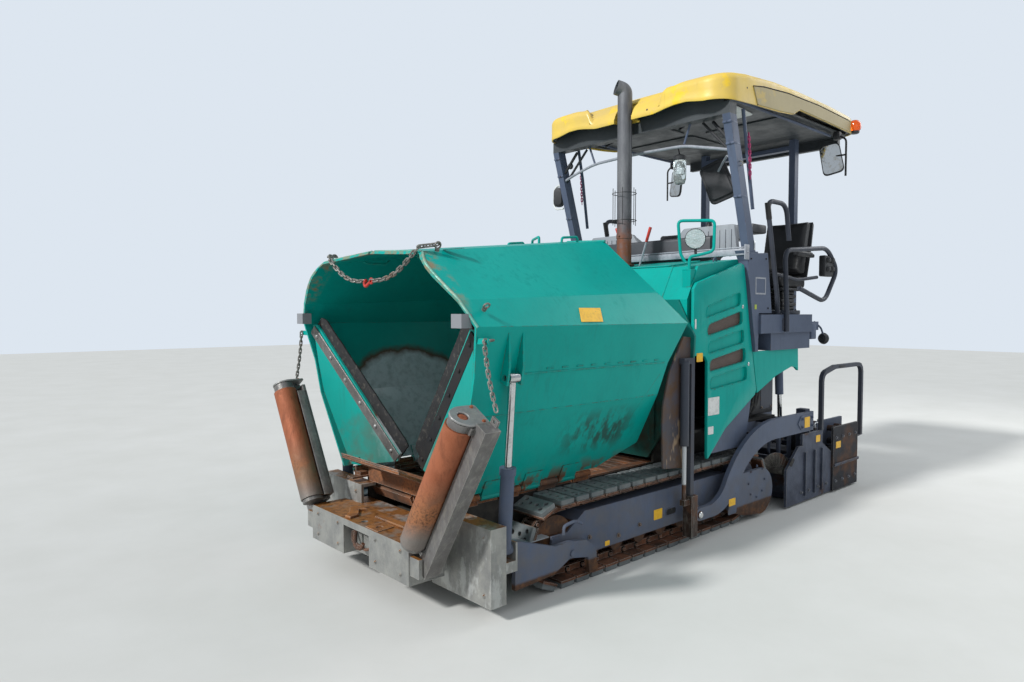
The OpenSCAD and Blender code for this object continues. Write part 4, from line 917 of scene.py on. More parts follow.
def make_wing_details():
    """Lips, ribs, ledges, welds, handles and the bare plate of each wing."""
    rim = [(2.25, 0.60, 0.64), (2.288, 0.832, 1.09), (2.298, 0.892, 1.31), (2.345, 0.966, 1.572),
           (2.372, 0.907, 1.655),
           (2.389, 0.857, 1.721), (2.402, 0.815, 1.757), (2.415, 0.774, 1.794), (2.422, 0.728, 1.831),
           (2.43, 0.689, 1.866), (2.431, 0.646, 1.899), (2.419, 0.601, 1.936), (2.393, 0.555, 1.976),
           (2.386, 0.40, 1.988), (2.372, 0.2, 2.001), (2.362, 0.016, 2.012)]
    lip = Piece("lip")
    lip.pipe([(x - 0.008, y, z) for x, y, z in rim[3:]], 0.0075, bend=0.02, sides=8, steps=3)
    lip.use("wing")
    # Stiffening bar along the rear edge of the top
    lip.pipe([(0.70, 0.40, 2.155), (0.70, 0.03, 2.176)], 0.009, sides=8)
    # Eyes for the chains
    lip.use("link")
    for at, out in (((2.30, 0.573, 1.992), (0, 0.3, 1)), ((2.262, 0.930, 1.668), (0.1, 0.75, 0.6)),
                    ((2.255, 0.945, 1.50), (0, 1, 0.2))):
        out = Vector(out).normalized()
        lip.rod(Vector(at) - out * 0.012, Vector(at) + out * 0.004, 0.013, sides=12)
        lip.ring(Vector(at) + out * 0.022, out, 0.018, 0.0055, across=(1, 0, 0))
    # Grab handle and the lifting slot of the top plate
    lip.use("wing")
    lip.pipe([(1.02, 0.28, 2.118), (1.02, 0.28, 2.168), (0.86, 0.28, 2.184), (0.86, 0.28, 2.134)], 0.009, bend=0.02)
    # The lifting slot is a black sheet on the plate: painted shade inside the slot
    lip.use("rubber")
    lip.plate(softened(rectangle(-0.06, -0.017, 0.06, 0.017), 0.012, 3), 0.002,
              facing((2.19, 0.575, 1.9995), (1, -0.45, -0.1), (0.45, 1, -0.06)), bevel=0.0)
    # Blank plate with slanted ends on the shoulder
    lip.use("label_yellow")
    lip.plate([(-0.085, 0.05), (0.105, 0.05), (0.065, -0.05), (-0.125, -0.05)][::-1], 0.002,
              facing((1.431, 0.9260, 1.6330), (-1, 0, 0), (0, -0.58, 0.815)), bevel=0.0)
    # Lip of the lower plate where it laps over, and the stitch welds above it
    lip.use("wing")
    lip.pipe([(2.04, 0.8915, 1.312), (0.66, 0.8915, 1.312)], 0.005, sides=8)
    for k in range(9):
        x = 1.78 - 0.125 * k
        lip.pipe([(x, wing_side(1.334) + 0.001, 1.334), (x - 0.05, wing_side(1.334) + 0.001, 1.334)], 0.005, sides=6)
    # Fold below it, with the slight lip the press has left
    lip.pipe([(2.25, 0.8295, 1.090), (0.70, 0.8295, 1.090)], 0.004, sides=8)
    # Rear corner of the plate, down to the hinge
    for plane_y, plane_z, lean, shape in (
            (0.890, 1.310, (0.06, 0.22), [(0.618, 0.0), (0.650, -0.228), (0.796, -0.228)]),
            (0.830, 1.090, (0.25, 0.515), [(0.650, 0.0), (0.655, -0.389), (0.990, -0.528), (1.002, -0.538),
                                           (0.796, 0.0)])):
        up = Vector((0, lean[0], lean[1])).normalized()
        lip.plate([(-x, v) for x, v in shape], -0.014, facing((0, plane_y, plane_z), (-1, 0, 0), up), bevel=0.001)
    # Handle under the edge of the top
    lip.pipe([(2.245, 0.30, 1.972), (2.225, 0.30, 1.962), (2.08, 0.30, 1.962), (2.055, 0.30, 1.990)], 0.007,
             bend=0.015, sides=8)
    # Worn strips along the foot of the wing
    lip.use("carrier")
    for x0, x1 in ((1.10, 1.38), (1.62, 1.86)):
        run = facing((x0, 0.6175, 0.655), (1, 0, 0), (0, 0.444, 0.896))
        lip.plate(softened(rectangle(0, 0, x1 - x0, 0.05), 0.008, 2), 0.004, run, bevel=0.001)
    lip.done("wing_fittings_SIDE", "wing_SIDE", "green_paint", side="each")


def make_chains():
    """Chains that hold the folded rollers, and the two halves of the chain across the hopper."""
    hold = Piece("link")
    top, low = Vector((2.336, 1.015, 1.50)), Vector((2.336, 1.105, 1.165))
    sag = [top.lerp(low, k / 8) + Vector((0, -0.012 * math.sin(math.pi * k / 8), 0)) for k in range(9)]
    hold.chain(sag, 0.0042, 0.030)
    hold.use("wing")
    hold.plate(softened([(0.942, 1.486), (1.03, 1.486), (1.032, 1.502), (1.022, 1.518), (0.95, 1.518)], 0.006,
                        2), 0.014,
               facing_x(2.311), bevel=0.002)
    hold.use("link")
    hold.ring((2.332, 1.016, 1.502), (0, 0, 1), 0.014, 0.004, across=(1, 0, 0))
    hold.done("hold_chain_links_SIDE", "wing_SIDE", "worn_steel", "hold_chain_SIDE", side="each")
    ends = {"left": ((2.30, 0.575, 2.018), (2.40, 0.555, 2.002)),
            "right": ((2.30, -0.575, 2.018), (2.40, -0.47, 2.010))}
    middle = Vector((2.415, 0.03, 1.83))
    for which, (eye, lip) in ends.items():
        swag = Piece("link")
        stop = middle + Vector((0, 0.035 if which == "left" else -0.035, 0.004))
        path = [Vector(eye), Vector(lip)]
        for k in range(1, 13):
            t = k / 12
            p = Vector(lip).lerp(stop, t)
            p.z -= 0.055 * math.sin(math.pi * t)
            p.x = 2.412
            path.append(p)
        swag.chain(path, 0.0050, 0.038)
        if which == "left":
            # Red hook that joins the halves
            swag.use("red")
            swag.pipe([middle + Vector(p) for p in ((0, 0.04, 0.0), (0, 0.015, -0.012), (0, -0.02, -0.03),
                                                    (0, -0.035, -0.015), (0, -0.028, 0.008), (0, -0.012, 0.006))],
                      0.009, bend=0.012, sides=8)
            swag.ring(middle + Vector((0, 0.045, 0.002)), (0, 0, 1), 0.014, 0.007, across=(0, 1, 0))
        swag.done("hopper_chain_" + which, "wing_" + which, "worn_steel")


def make_carrier_webs():
    """Channel behind each push roller, with the pale bracket that holds the roller's top."""
    web = Piece("carrier")
    lean = Matrix.Translation((0, 0.600, 0.290)) @ Matrix.Rotation(math.radians(-30.8), 4, "X")
    web.block((2.352, -0.150, 0.10), (2.376, 0.002, 0.905), 0.004, turn=lean)
    web.block((2.352, -0.150, 0.10), (2.420, -0.138, 0.86), 0.003, turn=lean)
    for z in (0.25, 0.50, 0.75):
        web.block((2.376, -0.138, z - 0.006), (2.398, 0.0, z + 0.006), 0.002, turn=lean)
    web.use("bracket")
    cap = [(2.352, -0.156), (2.352, 0.004), (2.475, 0.004), (2.530, -0.030), (2.552, -0.078), (2.530, -0.130),
           (2.475, -0.156)]
    web.plate(softened(cap, 0.02, 3), 0.012, lean @ facing_z(0.938), holes=[circle(2.475, -0.078, 0.030, 20)],
              bevel=0.003)
    web.use("roller")
    web.spun([(0.028, 0.0), (0.028, 0.010), (0.020, 0.014), (0.008, 0.015)], lean @ Vector((2.475, -0.078, 0.930)),
             lean.to_3x3() @ Vector((0, 0, 1)), 18)
    for x, y in ((2.385, -0.02), (2.385, -0.135)):
        web.bolt(lean @ Vector((x, y, 0.950)), lean.to_3x3() @ Vector((0, 0, 1)), 0.009)
    web.done("carrier_web_SIDE", "roller_carrier_SIDE", "worn_steel", side="each")


def make_rear_wall():
    """Wall between hopper and engine, with its cheeks beside the tracks and the lugs of the side doors."""
    wall = Piece("wall")
    half = [(0.500, 0.56), (0.839, 1.09), (0.889, 1.31), (0.899, 1.48), (0.759, 1.74)]
    outline = half + [(-y, z) for y, z in half[::-1]]
    wall.plate(outline, 0.020, facing_x(0.298), bevel=0.002)
    for s in (1, -1):
        wall.use("wall")
        for y in (0.22, 0.55):
            wall.block((0.318, s * y - 0.02, 0.70), (0.340, s * y + 0.02, 1.66), 0.004)
        wall.use("cheek")
        cheek = [(0.303, 1.470), (0.303, 0.545), (0.630, 0.580), (0.640, 0.90), (0.630, 1.02), (0.560, 1.240),
                 (0.400, 1.480)]
        wall.plate(softened(cheek, 0.015, 2), 0.016, facing_side(s, 0.849, 0.016), bevel=0.003)
        wall.block((0.34, s * 0.841 - 0.010, 0.58), (0.60, s * 0.841 + 0.010, 0.62), 0.004)
        wall.use("grime")
        for z in (1.35, 1.44):
            wall.block((0.280, s * 0.818 - 0.038, z), (0.300, s * 0.818 + 0.038, z + 0.04), 0.003)
            wall.rod((0.300, s * 0.856, z), (0.300, s * 0.856, z + 0.04), 0.009)
        wall.use("chrome")
        wall.rod((0.300, s * 0.856, 1.345), (0.300, s * 0.856, 1.485), 0.005)
    wall.done("hopper_wall_and_cheeks", "chassis", "worn_steel", "hopper_rear_wall")


def make_beam_details():
    """Loose plates, hook and bolt heads on the push beam, and the torn flap above it."""
    top = Piece("beam_rust")
    # Boomerang plate left on the beam, and the torn plate beside it
    top.plate([(2.30, -0.20), (2.34, -0.22), (2.405, -0.115), (2.47, -0.10), (2.475, -0.155), (2.43, -0.19),
               (2.36, -0.30),
               (2.31, -0.31)], 0.014, facing_z(0.391), bevel=0.003)
    top.plate([(2.275, 0.30), (2.30, -0.02), (2.345, -0.02), (2.34, 0.30)], 0.012, facing_z(0.391), bevel=0.003)
    top.plate(softened([(2.36, 0.10), (2.485, 0.10), (2.485, 0.24), (2.36, 0.22)], 0.01, 2), 0.005, facing_z(0.391),
              holes=[circle(2.43, 0.17, 0.02, 12)], bevel=0.001)
    # Loose hook and shackle under the notch
    top.use("chain")
    top.pipe([(2.44, -0.08, 0.345), (2.455, -0.08, 0.27), (2.47, -0.04, 0.235), (2.475, 0.03, 0.24),
              (2.47, 0.05, 0.275)],
             0.013, bend=0.03)
    top.pipe([(2.43, -0.14, 0.30), (2.46, -0.10, 0.255), (2.46, 0.08, 0.235), (2.43, 0.13, 0.29)], 0.009, bend=0.04)
    # Bolt heads of the wear plates
    top.use("beam")
    for y in (-0.48, -0.22, 0.22, 0.48):
        for z in (0.215, 0.345):
            top.bolt((2.4902, y, z), (1, 0, 0), 0.010)
    for y in (0.47, 0.87):
        for s in (1, -1):
            top.bolt((2.2202, s * y, 0.14), (1, 0, 0), 0.011)
            top.bolt((2.2202, s * y, 0.45), (1, 0, 0), 0.011)
    top.done("beam_fittings", "chassis", "rusty_steel")
    # Torn front of the flap that leads the mix over the beam
    flap = Piece("rust")
    edge = [(2.34, -0.33), (2.405, -0.325), (2.42, -0.24), (2.408, -0.20), (2.414, -0.12), (2.402, -0.08),
            (2.404, 0.05),
            (2.395, 0.10), (2.41, 0.20), (2.402, 0.27), (2.404, 0.33), (2.34, 0.33)]
    slope = Matrix(((1, 0, 0, 0), (0, 1, 0, 0), (0.481, 0, 1, 0.7435 - 0.481 * 2.4), (0, 0, 0, 1)))
    flap.plate(edge, 0.009, slope, bevel=0.002)
    flap.use("grime")
    for y in (-0.2, 0.2):
        flap.bolt((2.35, y, 0.7435 - 0.481 * 0.05 + 0.006), (-0.43, 0, 0.9), 0.010)
    flap.done("torn_flap_edge", "chassis", "rusty_steel")


# Body

DOOR = [(0.300, 1.340), (0.300, 1.345), (0.288, 1.345), (0.288, 1.394), (0.300, 1.394), (0.300, 1.436),
        (0.288, 1.436),
        (0.288, 1.485), (0.300, 1.485), (0.300, 1.812), (0.262, 1.857), (-0.330, 2.022), (-0.371, 2.010),
        (-0.384, 1.955), (-0.472, 1.510), (-0.578, 1.040), (-0.560, 0.998), (-0.130, 0.775), (0.072, 0.604),
        (0.104, 0.578), (0.112, 0.600), (0.120, 1.290), (0.150, 1.330)]


def door_slot(i, grow=0.0):
    """Outline of a door slot, from the top down."""
    rise = 0.245 - 0.031 * i
    front, rear = 0.145 - 0.016 * i, -0.325 - 0.026 * i
    z = 1.688 - 0.129 * i
    high = 0.082 + 0.002 * i
    span = front - rear
    points = [(front + grow, z - high - grow), (front - 0.012 + grow, z + grow * 0.5),
              (rear - grow, z + span * rise + grow), (rear - 0.004 - grow, z + span * rise - high * 1.22 - grow)]
    return softened(points, 0.038 + grow * 0.4, 6)


def make_doors():
    """Side doors: pressed slots with radiator mesh, hinges, lock and bare plates."""
    door = Piece("green")
    door.plate(DOOR, 0.024, facing_y(0.856), holes=[door_slot(i) for i in range(5)], bevel=0.0035, segments=2)
    for i in range(5):
        # Raised lip round each slot
        door.use("green")
        lip = [(x, 0.8795, z) for x, z in door_slot(i, 0.003)]
        door.pipe(lip, 0.0032, sides=6, closed=True)
        if i in (1, 3):
            # Radiator mesh behind an open slot, painted dark between its wires for the radiator and the shade behind
            door.use("mesh")
            door.plate(door_slot(i, 0.006), 0.003, facing_y(0.853), bevel=0.0)
        else:
            door.plate(door_slot(i, 0.004), 0.004, facing_y(0.8565), bevel=0.0)
    # Hinge, knuckle and lock
    door.use("green")
    door.rod((0.3, 0.856, 1.3905), (0.3, 0.856, 1.4395), 0.009, sides=16)
    door.use("chrome")
    door.spun([(0.013, 0), (0.014, 0.003), (0.009, 0.006), (0.004, 0.005)], (-0.355, 0.8795, 1.69), (0, 1, 0), 14)
    door.spun([(0.013, 0), (0.014, 0.003), (0.009, 0.006), (0.004, 0.005)], (-0.452, 0.8795, 1.245), (0, 1, 0), 14)
    # Blank plates in the places of the labels
    for finish, x0, z0, x1, z1 in (
            ("label_yellow", 0.185, 1.295, 0.262, 1.357), ("label_white", -0.04, 0.895, 0.108, 1.025),
            ("label_white", 0.035, 0.755, 0.105, 0.812), ("label_white", 0.270, 1.53, 0.288, 1.60)):
        door.use(finish)
        door.plate(softened(rectangle(x0, z0, x1, z1), 0.004, 2), 0.0015, facing_y(0.8798), bevel=0.0)
    door.done("door_panel_SIDE", "side_door_SIDE", "green_paint", "side_door_SIDE", side="each")


def make_hood_details():
    """Seams, lifting eyes, cap, folded screen bar and red levers on the hood."""
    hood = Piece("green")
    # Folded seams and the raised middle of the hood
    hood.plate(softened([(0.10, -0.52), (0.10, 0.52), (-0.36, 0.52), (-0.36, -0.52)], 0.05, 4), 0.010,
               Matrix(((1, 0, 0, 0), (0, 1, 0, 0), (-0.134, 0, 1, 2.0072), (0, 0, 0, 1))),
               holes=[softened([(0.075, -0.085), (0.075, 0.085), (-0.095, 0.085), (-0.095, -0.085)], 0.03, 3)],
               bevel=0.004)
    for s in (1, -1):
        hood.pipe([(0.298, s * 0.60, 1.742), (0.160, s * 0.60, 1.987), (-0.395, s * 0.60, 2.061)], 0.005, sides=8)
    # Lifting eyes, filler cap
    hood.use("grey")
    for s in (1, -1):
        hood.ring((-0.25, s * 0.70, 2.045), (0, 0, 1), 0.022, 0.006, across=(1, 0, 0))
    hood.use("plastic")
    hood.spun([(0.045, 0.0), (0.047, 0.012), (0.042, 0.030), (0.012, 0.034)], (-0.22, -0.34, 2.045),
              (-0.13, 0, 1), 20)
    # Bar and frame of the folded front screen
    hood.use("stencil")
    hood.block((-0.372, -0.86, 2.085), (-0.345, 0.895, 2.135), 0.005)
    hood.block((-0.366, -0.84, 2.140), (-0.352, 0.885, 2.150), 0.002)
    for s in (1, -1):
        hood.block((-0.392, s * 0.905 - 0.006, 2.05), (-0.330, s * 0.905 + 0.006, 2.165), 0.004)
        hood.bolt((-0.36, s * 0.9115, 2.11), (0, s, 0), 0.010)
    hood.done("hood_fittings", "chassis", "green_paint")
    # Levers with red grips beside the exhaust
    lever = Piece("stencil")
    for low, high in (((-0.05, 0.01, 2.03), (-0.03, -0.090, 2.330)), ((-0.05, 0.13, 2.03), (-0.03, 0.245, 2.310))):
        low, high = Vector(low), Vector(high)
        lever.use("stencil")
        lever.rod(low, high, 0.008, sides=10)
        lever.use("red")
        lever.rod(low.lerp(high, 0.66), high.lerp(low, -0.06), 0.012, 0.013, sides=12, bevel=0.003)
    lever.done("red_levers", "chassis", "worn_steel")


def make_exhaust():
    """Exhaust pipe with its bent mouth, clamp and wire guard."""
    stack = Piece("exhaust")
    stack.tube([(-0.01, 0, 1.70), (-0.01, 0, 2.60), (-0.01, 0, 3.458), (0.052, -0.042, 3.480)], 0.060, 0.054,
               bend=0.05)
    # Band clamp, foot flange and welded seam
    stack.spun([(0.0605, -0.02), (0.064, -0.018), (0.064, 0.018), (0.0605, 0.02)], (-0.01, 0, 2.27), (0, 0, 1), 32)
    stack.spun([(0.0605, -0.012), (0.085, -0.011), (0.085, 0.0), (0.0605, 0.003)], (-0.01, 0, 2.042), (0, 0, 1), 32)
    stack.bolt((0.055, 0.0, 2.27), (1, 0, 0), 0.008)
    stack.pipe([(-0.01, 0.0600, 2.30), (-0.01, 0.0600, 3.34)], 0.002, sides=6)
    # Wire guard
    stack.use("wire")
    for z in (2.40, 2.62):
        stack.pipe([(-0.01 + 0.098 * math.cos(a), 0.098 * math.sin(a), z)
                    for a in (2 * math.pi * k / 24 for k in range(24))], 0.003, sides=6, closed=True)
    for k in range(6):
        a = 2 * math.pi * (k + 0.5) / 6
        x, y = -0.01 + 0.098 * math.cos(a), 0.098 * math.sin(a)
        stack.pipe([(x, y, 2.36), (x, y, 2.66)], 0.003, sides=6)
        if k % 2:
            stack.pipe([(x, y, 2.40), (-0.01 + 0.061 * math.cos(a), 0.061 * math.sin(a), 2.40)], 0.004, sides=6)
    stack.done("exhaust_stack", "chassis", "black_paint", "exhaust_pipe")


def lamp(piece, at, out, radius):
    """Round lamp: bowl, bright rim, reflector and clear cover, facing out."""
    piece.use("plastic")
    piece.spun([(radius * 0.35, -radius * 0.75), (radius * 0.75, -radius * 0.55), (radius * 0.98, -radius * 0.1),
                (radius, 0.0), (radius * 0.93, 0.004)], at, out)
    piece.use("reflector")
    out = Vector(out).normalized()
    piece.spun([(radius * 0.2, -radius * 0.32), (radius * 0.65, -radius * 0.2), (radius * 0.92, 0.0045),
                (radius * 0.9, 0.005)], Vector(at) + out * 0.0005, out)
    piece.use("glass")
    piece.spun([(radius * 0.94, 0.004), (radius * 0.9, 0.010), (radius * 0.6, 0.018), (radius * 0.15, 0.022)],
               Vector(at) + out * 0.002, out)


def make_work_lights():
    """Round lamp in a bent guard on each front corner of the hood."""
    light = Piece("green")
    foot = Vector((0.215, 0.78, 1.9505))
    across = Vector((-0.50, 0.866, 0))
    middle = foot + Vector((-0.010, 0.045, 0.232))

    def at(u, v):
        return middle + across * u + Vector((0, 0, v))

    light.pipe([foot, foot + Vector((0, 0, 0.10)), at(0.02, -0.125), at(0.125, -0.100), at(0.130, 0.118),
                at(-0.125, 0.125),
                at(-0.105, -0.120), foot + Vector((0.02, -0.02, 0.06))], 0.0115, bend=0.035, sides=12)
    light.block((0.180, 0.745, 1.9505), (0.250, 0.815, 1.958), 0.002)
    lamp(light, at(0.0, -0.01) + Vector((0.02, 0.01, 0)), (0.866, 0.50, -0.05), 0.074)
    light.use("plastic")
    light.rod(at(0, -0.115), at(0, -0.075), 0.010)
    light.done("work_light_SIDE", "chassis", "black_plastic", "work_lights", side="each")


def mirror(piece, at, out, width, height, lean=0.0, rim="plastic"):
    """Mirror: rounded housing with a domed back and the glass on its front; it leans in its own plane."""
    plane = facing(at, Vector((0, 0, 1)).cross(Vector(out)), (0, 0, 1)) @ Matrix.Rotation(math.radians(lean), 4, "Z")
    w = plane.to_3x3() @ Vector((0, 0, 1))
    front = 1 if w.dot(Vector(out)) > 0 else -1
    shape = softened([(-width / 2, -height / 2), (width / 2, -height / 2 + 0.01), (width * 0.46, height / 2),
                      (-width * 0.48, height / 2)], 0.05, 5)
    piece.use(rim)
    piece.plate(shape, -front * 0.022, plane, bevel=0.007, segments=3)
    piece.plate([(u * 0.82, v * 0.82) for u, v in shape], -front * 0.018,
                plane @ Matrix.Translation((0, 0, -front * 0.02)),
                bevel=0.008, segments=3)
    piece.use("mirror")
    piece.plate([(u * 0.91, v * 0.91) for u, v in shape], front * 0.0015, plane, bevel=0.0)


def make_mirrors():
    """Mirrors on the canopy, with their arms and clamps."""
    arm = Piece("wire")
    for s in (1, -1):
        arm.use("plastic")
        arm.block((-1.985, s * 0.885 - 0.03, 3.215), (-1.925, s * 0.885 + 0.03, 3.285), 0.010)
        arm.use("wire")
        arm.pipe([(-1.955, s * 0.90, 3.25), (-1.955, s * 0.965, 3.21), (-1.955, s * 0.965, 2.88)], 0.009, bend=0.03)
        arm.pipe([(-1.955, s * 0.965, 3.07), (-1.95, s * 0.86, 3.07)], 0.008)
        mirror(arm, (-1.935, s * 0.845, 3.045), (1, s * 0.30, -0.1), 0.185, 0.285, lean=10.0 * s)
    arm.done("rear_mirrors", "chassis", "black_plastic", "mirrors")
    front = Piece("stencil")
    # Left mirror, seen from behind, on its arm from the post
    front.pipe([(-0.25, 0.845, 2.80), (-0.34, 0.74, 2.86), (-0.50, 0.60, 2.84), (-0.56, 0.53, 2.80)], 0.009,
               bend=0.03)
    mirror(front, (-0.607, 0.50, 2.72), (-1, -0.25, 0.15), 0.235, 0.345, lean=-22.0)
    # Right mirror in its white tube frame
    front.use("label_white")
    loop = [(-0.235, -0.905, 2.62), (-0.235, -1.0, 2.62), (-0.235, -1.03, 2.66), (-0.235, -1.03, 2.80),
            (-0.235, -0.99, 2.84),
            (-0.235, -0.905, 2.84)]
    front.pipe(loop, 0.008, bend=0.03)
    mirror(front, (-0.25, -0.975, 2.73), (-1, -0.3, 0), 0.11, 0.19)
    front.done("front_mirrors", "chassis", "black_plastic")

# Canopy

ROOF_FRONT, ROOF_REAR, ROOF_HALF, ROOF_CORNER = 0.02, -2.31, 0.925, 0.18
CROWN = [(-2.31, 3.452), (-2.20, 3.474), (-1.75, 3.492), (-1.20, 3.497), (-0.75, 3.488), (-0.33, 3.455),
         (-0.06, 3.414),
         (0.02, 3.398)]
SIDE_EDGE = [(-2.31, 3.312), (-2.12, 3.300), (-1.55, 3.312), (-1.14, 3.318), (-1.03, 3.262), (-0.81, 3.241),
             (-0.40, 3.222), (-0.16, 3.207), (0.02, 3.205)]
FRONT_EDGE = [(0.0, 3.200), (0.30, 3.200), (0.42, 3.222), (0.50, 3.232), (0.60, 3.232), (0.74, 3.208), (0.95, 3.205)]


def smooth(value, low, high):
    t = min(max((value - low) / (high - low), 0.0), 1.0)
    return t * t * (3 - 2 * t)


def straight(table, x):
    for (x0, z0), (x1, z1) in zip(table, table[1:]):
        if x <= x1:
            return z0 + (z1 - z0) * min(max((x - x0) / (x1 - x0), 0.0), 1.0)
    return table[-1][1]


def roof_top(x, y):
    """Top of the shell: crowned, with a lower brow in front between two lobes."""
    z = straight(CROWN, x) - 0.012 * (y / ROOF_HALF) ** 2
    # Visor between the lobes: its face slants down to the front edge
    crease = 0.33 - 1.0 * min(x, 0.0)
    visor = 0.13 * (max(x + 0.22, 0.0) / 0.24) ** 1.5
    z -= visor * (1 - smooth(abs(y), crease, crease + 0.07))
    # Groove along the visor's edge
    groove = 0.013 * smooth(x, -0.50, -0.15) * math.exp(-((abs(y) - crease - 0.10) / 0.06) ** 2)
    return z - groove - 0.012 * math.exp(-((x + 0.28) / 0.12) ** 2 - ((abs(y) - 0.74) / 0.07) ** 2)


def roof_low(x, y):
    return straight(FRONT_EDGE, abs(y)) if x > -0.155 else straight(SIDE_EDGE, x)


def roof_ring(inset):
    """Points of the roof's outline from above, moved in by inset."""
    cx0, cx1, cy = ROOF_REAR + ROOF_CORNER, ROOF_FRONT - ROOF_CORNER, ROOF_HALF - ROOF_CORNER
    r = ROOF_CORNER - inset
    xs = [cx1 + (cx0 - cx1) * i / 56 for i in range(57)]
    half = [0.0, 0.03, 0.06, 0.0880, 0.0895] + [0.12 + (cy - 0.12) * i / 26 for i in range(27)]
    ys = [-y for y in half[:0:-1]] + half
    points = [(cx1 + r, y) for y in ys]
    for centre, start, edge in (((cx1, cy), 0, [(x, cy + r) for x in xs]),
                                ((cx0, cy), 90, [(cx0 - r, y) for y in ys[::-1]]),
                                ((cx0, -cy), 180, [(x, -cy - r) for x in xs[::-1]]), ((cx1, -cy), 270, None)):
        for k in range(1, 9):
            a = math.radians(start + 10 * k)
            points.append((centre[0] + r * math.cos(a), centre[1] + r * math.sin(a)))
        if edge:
            points += edge
    return points, xs, ys


def notched(x, y, inset):
    """Moves the front edge back round the exhaust."""
    if abs(y) < 0.089 and x > -0.2:
        return min(x, -0.083 - min(inset, 0.009) - max(inset - 0.047, 0.0))
    return x - 0.012 * (y / ROOF_HALF) ** 2 * smooth(x, -0.5, 0.0)


